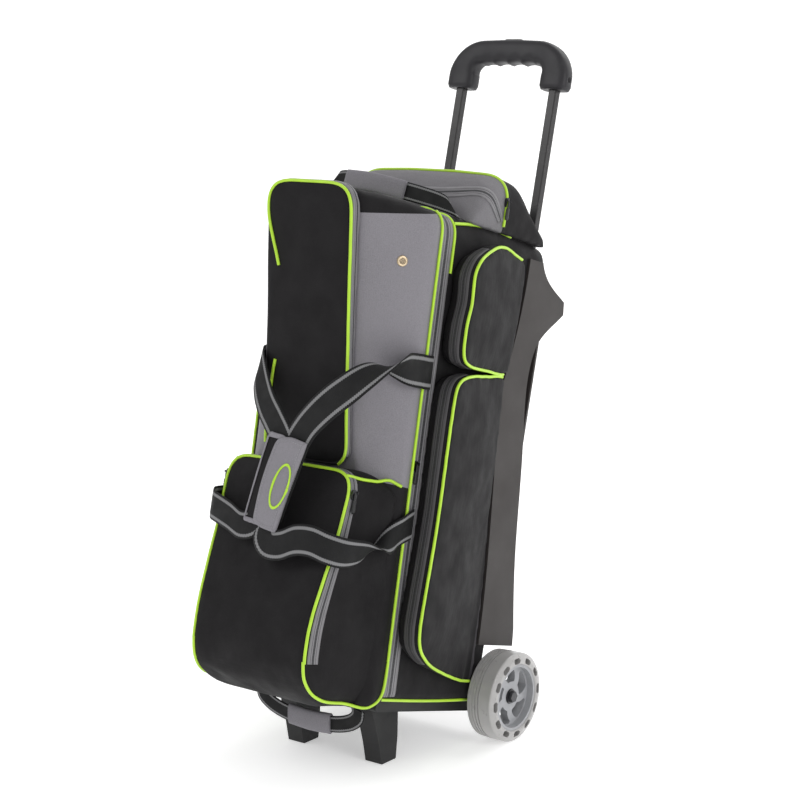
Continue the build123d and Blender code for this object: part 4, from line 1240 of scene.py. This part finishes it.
flap_outline = rounded_loop(
    [(-15, 203), (4, 197), (26, 194), (42, 255), (60, 315), (36, 320), (8, 318), (-10, 262)], [
        26, 6, 3, 10, 3, 6, 32, 30
    ], 8, 7
)
flap = pad_strip("wrap_flap", flap_outline, wrap_depth, 6.0, gray_cloth, "lid")
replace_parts(flap, "wrap_grip")
wrap_back = rounded_loop(
    [(-36, 202), (18, 198), (36, 256), (48, 314), (2, 324), (-8, 322)], [5, 4, 8, 4, 4, 5], 8, 5
)
hook = pad_strip(
    "wrap_underlay", wrap_back, lambda x, q: -136.5 + 0.0016 * (x - 10) ** 2, 4.5, black_cloth, "lid",
)
flap_surface, hook_surface = Surface(flap), Surface(hook)
stitch_line(
    "wrap_stitches", flap_surface, [at_lid(p[0], -146, p[1]) for p in inset(flap_outline, 5)], thread,
    "lid", 2.4, 1.4
)
for name, ends in (
    ("wrap_binding_top", ((-6, 320), (22, 318))),
    ("wrap_binding_left", ((-7, 318), (-34, 204))),
    ("wrap_binding_bottom", ((-34, 205), (-2, 203))),
):
    path = smooth_path(
        [
            at_lid(x, -139.5, q)
            for x, q in (
                ends[0], ((ends[0][0] + ends[1][0]) / 2 - 1, (ends[0][1] + ends[1][1]) / 2), ends[1]
            )
        ],
        12
    )
    along = (path[-1] - path[0]).normalized()
    across = along.cross(ZIP_BACK).normalized() * 3.4 * MM
    if name.endswith("left"):
        across *= 0.5
    rows = [[hook_surface.snap(p + across * (k / 2 - 1), 0.9) for k in range(5)] for p in evenly(path, 4)]
    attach(strip(name, rows, gray_cloth, 1.4), "lid")
RING_CENTRE = at_lid(28.0, -148, 255.0)
ring_path = []
for k in range(40):
    turn = 2 * math.pi * k / 40
    across, along = 13.0 * math.cos(turn), 29 * math.sin(turn)
    ring_path.append(RING_CENTRE + (X * (across + along * 0.24) + ZIP_UP * along) * MM)
rows = []
for k in range(41):
    point = ring_path[k % 40]
    out = (point - RING_CENTRE).normalized() * 1.9 * MM
    rows.append([flap_surface.snap(point + out * s, 0.5) for s in (-1, -0.4, 0.4, 1)])
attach(strip("wrap_oval_ring", rows, piping, 1.0), "lid")


# ------------------------------------------------------------------ grab handles
def sleeve(name, path, across, wide, thick, material, body, place):
    """Soft flattened tube round a strap."""
    line = evenly(smooth_path([place(*p) for p in path], 10), 5)
    way = (place(*across) - place(0, 0, 0)).normalized()
    loops = []
    for i, point in enumerate(line):
        along = (line[min(i + 1, len(line) - 1)] - line[max(i - 1, 0)]).normalized()
        out = along.cross(way).normalized()
        share = i / (len(line) - 1)
        fold = 1 + 0.06 * math.sin(share * 19)
        loop = []
        for k in range(28):
            turn = 2 * math.pi * k / 28
            c, s = math.cos(turn), math.sin(turn)
            c, s = math.copysign(abs(c) ** 0.7, c), math.copysign(abs(s) ** 0.7, s)
            loop.append(point + way * c * wide / 2 * MM + out * s * thick / 2 * fold * MM)
        loops.append(loop)
    piece = closed_form(name, loops, material, 3)
    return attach(piece, body)


TOP_V = -240.0
top_line = [
    (-108, TOP_V + 2, 640), (-109, TOP_V, 660), (-102, TOP_V - 2, 676), (-88, TOP_V - 2, 680),
    (-60, TOP_V - 2, 680), (-20, TOP_V - 2, 676)
]
top_line += [
    (20, TOP_V - 1, 670), (55, TOP_V - 1, 664), (88, TOP_V, 657), (106, TOP_V + 1, 650),
    (114, TOP_V + 2, 638)
]
top_across = [
    (1, 0, 0.1), (0.95, 0, 0.3), (0.6, 0, 0.8), (0.1, 0, 1), (0, 0, 1), (-0.05, 0, 1), (-0.1, 0, 1),
    (-0.15, 0, 1), (-0.25, 0, 1), (-0.6, 0, 0.9), (-0.95, 0, 0.3)
]
piece = strap("top_handle_webbing", list(zip(top_line, top_across)), at_body, 26, 2.4)
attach(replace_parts(piece, "top_handle"), "top_grab")
top_sleeve = sleeve(
    "top_handle_cover", [(-78, TOP_V - 3, 681), (-30, TOP_V - 4, 678), (26, TOP_V - 3, 669)], (0.12, 0, 1),
    27, 9, gray_cloth, "top_grab", at_body
)
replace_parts(top_sleeve, "top_handle_sleeve")

hang = at_body(0, -243, -30)


def at_hang(x, forward, down):
    return hang + Vector((x, -forward, -down)) * MM


bottom_line = [
    (-84, 0, 4), (-82, 0, 16), (-66, -1, 27), (-38, -1, 34), (0, -1, 36), (38, -1, 34), (66, -1, 27),
    (82, 0, 16), (84, 0, 4)
]
bottom_across = [
    (1, 0, -0.2), (0.8, 0, -0.6), (0.4, 0, -1), (0.1, 0, -1), (0, 0, -1), (-0.1, 0, -1), (-0.4, 0, -1),
    (-0.8, 0, -0.6), (-1, 0, -0.2)
]
piece = strap("bottom_handle_webbing", list(zip(bottom_line, bottom_across)), at_hang, 23, 2.4)
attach(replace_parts(piece, "bottom_handle"), "bottom_grab")
bottom_sleeve = sleeve(
    "bottom_handle_cover", [(-36, -1, 34), (0, -1, 36), (36, -1, 34)], (0, 0, 1), 29, 11, gray_cloth,
    "bottom_grab", at_hang
)
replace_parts(bottom_sleeve, "bottom_handle_sleeve")

# ------------------------------------------------------------------ tow handle's grip
def box_loops(x, v, w):
    """Two square loops of a box given by its ranges in the body's frame."""
    corners = [(x[0], v[0]), (x[1], v[0]), (x[1], v[1]), (x[0], v[1])]
    return [[at_body(a, b, height) for a, b in corners] for height in w]


def cut_away(obj, loops):
    cutter = closed_form("cutter", loops, grip_plastic, 1)
    with_modifier(obj, "BOOLEAN", object=cutter, operation="DIFFERENCE", solver="EXACT")
    bpy.data.objects.remove(cutter)


COLLAR_X, COLLAR_LOW, BAR_W, ELBOW = 81.5, 868.5, 922.0, 34.0
half_path = [(COLLAR_X, COLLAR_LOW), (COLLAR_X, BAR_W - ELBOW)]
half_path += [
    (COLLAR_X - ELBOW * (1 - math.cos(t)), BAR_W - ELBOW * (1 - math.sin(t))) for t in (
        math.radians(10 * k) for k in range(1, 10)
    )
]
half_path += [(32, BAR_W + 0.5), (16, BAR_W + 1)]
grip_path = [(-x, 0, w) for x, w in half_path] + [(0, 0, BAR_W + 1)] + [
    (x, 0, w) for x, w in reversed(half_path)
]
grip_line = evenly([Vector(p) for p in grip_path], 2.5 / MM)
grip_loops = []
for i, point in enumerate(grip_line):
    along = (grip_line[min(i + 1, len(grip_line) - 1)] - grip_line[max(i - 1, 0)]).normalized()
    outward = Vector((-along.z, 0, along.x))
    bar = min(max((point.z - 890) / 30, 0), 1)
    end = min(i, len(grip_line) - 1 - i)
    wide, deep = 46 - 9 * bar, 29 + 2 * bar
    trim = 1 - 0.05 * max(2 - end, 0)
    finger = 2.6 * abs(math.sin(math.pi * (point.x + 50) / 25)) ** 0.7 if abs(point.x) < 50 else 1.6 * bar
    loop = []
    for k in range(36):
        c, t = math.cos(2 * math.pi * k / 36), math.sin(2 * math.pi * k / 36)
        c, t = math.copysign(abs(c) ** 0.6, c), math.copysign(abs(t) ** 0.6, t)
        reach = wide / 2 * trim * c + (finger if c < -0.5 else 0) * (1 if bar > 0 else 0)
        flat = point + outward * reach
        loop.append(at_body(flat.x, deep / 2 * trim * t, flat.z))
    grip_loops.append(loop)
grip = closed_form("grip_body", grip_loops, grip_plastic, 2)
shade(grip)
cut_away(grip, box_loops((-16.4, 16.4), (-7.4, 7.4), (921.5, 960)))
cut_away(grip, box_loops((-86, 86), (-3, 3), (914, 927)))
cut_away(grip, box_loops((-5.3, 5.3), (-5.3, 5.3), (911, 918)))
for side in (-1, 1):
    cut_away(grip, box_loops((side * 82 - 6.5, side * 82 + 6.5), (-6.5, 6.5), (850, 915)))
    bore = [
        [
            at_body(side * x, 4.2 * math.cos(a), 884 + 4.2 * math.sin(a))
            for a in (math.pi * k / 8 for k in range(16))
        ]
        for x in (96, 120)
    ]
    cut_away(grip, bore)
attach(grip, "tow_handle")
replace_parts(grip, "grip")
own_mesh(frame["nodes"]["button_spring"])

# ------------------------------------------------------------------ zip pullers and eyelets
def puller(name, node, body, outward):
    """Moulded cord puller in place of a plain tab: a looped cord into a ribbed grip."""
    low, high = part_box(node)
    centre = (low + high) / 2
    pivot = Vector(JOINTS[body + "_swing"]["pos_m"])
    down = (centre - pivot).normalized()
    side = down.cross(outward).normalized()
    out = side.cross(down).normalized()
    loops = []
    for share, wide, thick in (
        (0, 1.6, 1.2), (0.12, 1.9, 1.5), (0.36, 1.7, 1.4), (0.42, 3.0, 2.0), (0.55, 3.4, 2.2),
        (0.6, 3.1, 1.9), (0.66, 3.5, 2.2), (0.72, 3.2, 1.9), (0.78, 3.6, 2.2), (0.9, 3.7, 2.1),
        (1.0, 2.6, 1.5)
    ):
        point = pivot + down * share * 27 * MM
        loops.append(
            [
                point + (side * math.cos(a) * wide + out * math.sin(a) * thick * 0.8) * MM
                for a in (2 * math.pi * k / 20 for k in range(20))
            ]
        )
    piece = closed_form(name, loops, button_plastic, 3)
    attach(piece, body)
    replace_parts(piece, node)


puller("main_zip_puller", "main_zip_tab", "main_zip_pull", X)
puller("shoe_zip_right_puller", "shoe_zip_right_tab", "shoe_zip_right_pull", X)
puller("shoe_zip_left_puller", "shoe_zip_left_tab", "shoe_zip_left_pull", -X)
puller("top_zip_puller", "top_zip_tab", "top_zip_pull", X)


def eyelet(name, side):
    """Rolled metal eyelet alone; the mesh behind it is laid apart, as brass wires."""
    centre, normal = lid_surface.trees[0].find_nearest(at_lid(side * 106, -50, 565))[:2]
    right = normal.cross(ZIP_UP).normalized()
    up = right.cross(normal).normalized()
    loops = []
    for radius, height in (
        (3.6, -1.0), (3.6, 0.4), (4.0, 1.1), (5.2, 1.6), (6.6, 1.3), (7.4, 0.5), (7.5, -0.8)
    ):
        loops.append(
            [
                centre + (right * math.cos(a) * radius + up * math.sin(a) * radius + normal * height) * MM
                for a in (2 * math.pi * k / 40 for k in range(40))
            ]
        )
    piece = closed_form(name, loops, brass, 1)
    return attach(piece, "lid")


for side, word in ((1, "right"), (-1, "left")):
    piece = eyelet(f"{word}_eyelet", side)
    centre, normal = lid_surface.trees[0].find_nearest(at_lid(side * 106, -50, 565))[:2]
    for k in range(-2, 3):
        along = normal.cross(ZIP_UP).normalized()
        for word2, way, other in (("a", along, ZIP_UP), ("b", ZIP_UP, along)):
            half = math.sqrt(max(3.6**2 - (k * 1.4) ** 2, 0.5))
            start = centre + (normal * 0.5 + other * k * 1.4 - way * half) * MM
            wire = tube(
                f"{word}_eyelet_mesh_{word2}{k + 2}", [start, start + way * 2 * half * MM], 0.3, brass,
                resolution=1
            )
            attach(wire, "lid")
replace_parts(piece, "vent_eyelets")

# ------------------------------------------------------------------ hard parts keep their own shapes
SLOT_MATERIALS = {
    "black_plastic": frame_plastic,
    "grip_plastic": grip_plastic,
    "steel": screw_metal,
    "black_tube": tube_paint,
    "rod": bright_metal,
    "clear_tyre": tyre_material(),
    "hub_plastic": hub_plastic,
    "zip_metal": zip_enamel,
    "zip_tape": zip_enamel,
    "webbing": black_cloth,
    "foam": foam_cloth,
    "brass_eyelet": brass,
    "black_fabric": black_cloth,
    "gray_fabric": gray_cloth,
}
OWN_MATERIALS = {
    "left_side_guard": guard_plastic, "right_side_guard": guard_plastic, "release_button": button_plastic
}
for part in frame["record"]["subparts"]:
    node = frame["nodes"][part["node"]]
    node.data.materials.clear()
    node.data.materials.append(OWN_MATERIALS.get(part["node"], SLOT_MATERIALS[part["material_slot"]]))

# ------------------------------------------------------------------ floor, light and camera
scene = bpy.context.scene


def stage_material():
    shader = Shader(
        "studio_floor", Specular_IOR_Level=0.0, Emission_Color=(1, 1, 1, 1), Emission_Strength=0.42
    )
    shader.colour(shader.blend(shader.blotches(1.5), (0.9, 0.9, 0.9), (0.94, 0.94, 0.94)))
    shader.roughness(shader.blotches(3), 0.75, 0.9)
    return shader.material


floor_rows = [
    [Vector((x, y, z)) for x in (-4, 0, 4)]
    for y, z in ((-4, 0), (1.4, 0), (2.1, 0.1), (2.6, 0.6), (2.7, 3.2))
]
vertices = [p for row in floor_rows for p in row]
faces = [(r * 3 + k, r * 3 + k + 1, r * 3 + k + 4, r * 3 + k + 3) for r in range(4) for k in range(2)]
floor = new_object("studio_floor", vertices, faces, stage_material())
floor.location.z = -0.0005

world = bpy.data.worlds.new("studio")
scene.world = world
world.use_nodes = True
world.node_tree.nodes["Background"].inputs[0].default_value = (1, 1, 1, 1)
tree = world.node_tree
rays = tree.nodes.new("ShaderNodeLightPath")
level = tree.nodes.new("ShaderNodeMapRange")
level.inputs[3].default_value, level.inputs[4].default_value = 0.62, 1.0
tree.links.new(rays.outputs["Is Camera Ray"], level.inputs[0])
tree.links.new(level.outputs[0], tree.nodes["Background"].inputs[1])


def soft_light(name, place, size, power, target=(0, 0, 0.45)):
    light = bpy.data.lights.new(name, "AREA")
    light.shape = "RECTANGLE"
    light.size, light.size_y = size
    light.energy = power
    obj = bpy.data.objects.new(name, light)
    scene.collection.objects.link(obj)
    obj.location = place
    obj.rotation_euler = (Vector(target) - Vector(place)).to_track_quat("-Z", "Y").to_euler()


soft_light("key", (-1.6, -2.4, 2.6), (1.6, 1.6), 26)
soft_light("right_fill", (3.0, -0.6, 1.5), (1.4, 2.0), 26)
soft_light("top_back", (0.2, 1.8, 2.8), (2.4, 1.2), 22)

AZIMUTH, ELEVATION, DISTANCE = math.radians(37.09), math.radians(10.37), 2.8663
target = Vector((-0.0291, AXLE.y, 0.467))
toward = Vector(
    (math.sin(AZIMUTH) * math.cos(ELEVATION), -math.cos(AZIMUTH) * math.cos(ELEVATION), math.sin(ELEVATION))
)
camera_data = bpy.data.cameras.new("camera")
camera_data.lens = 90
camera_data.sensor_width = 36
camera = bpy.data.objects.new("camera", camera_data)
scene.collection.objects.link(camera)
camera.location = target + toward * DISTANCE
camera.rotation_euler = (-toward).to_track_quat("-Z", "Y").to_euler()
scene.camera = camera
scene.view_settings.view_transform = "Standard"
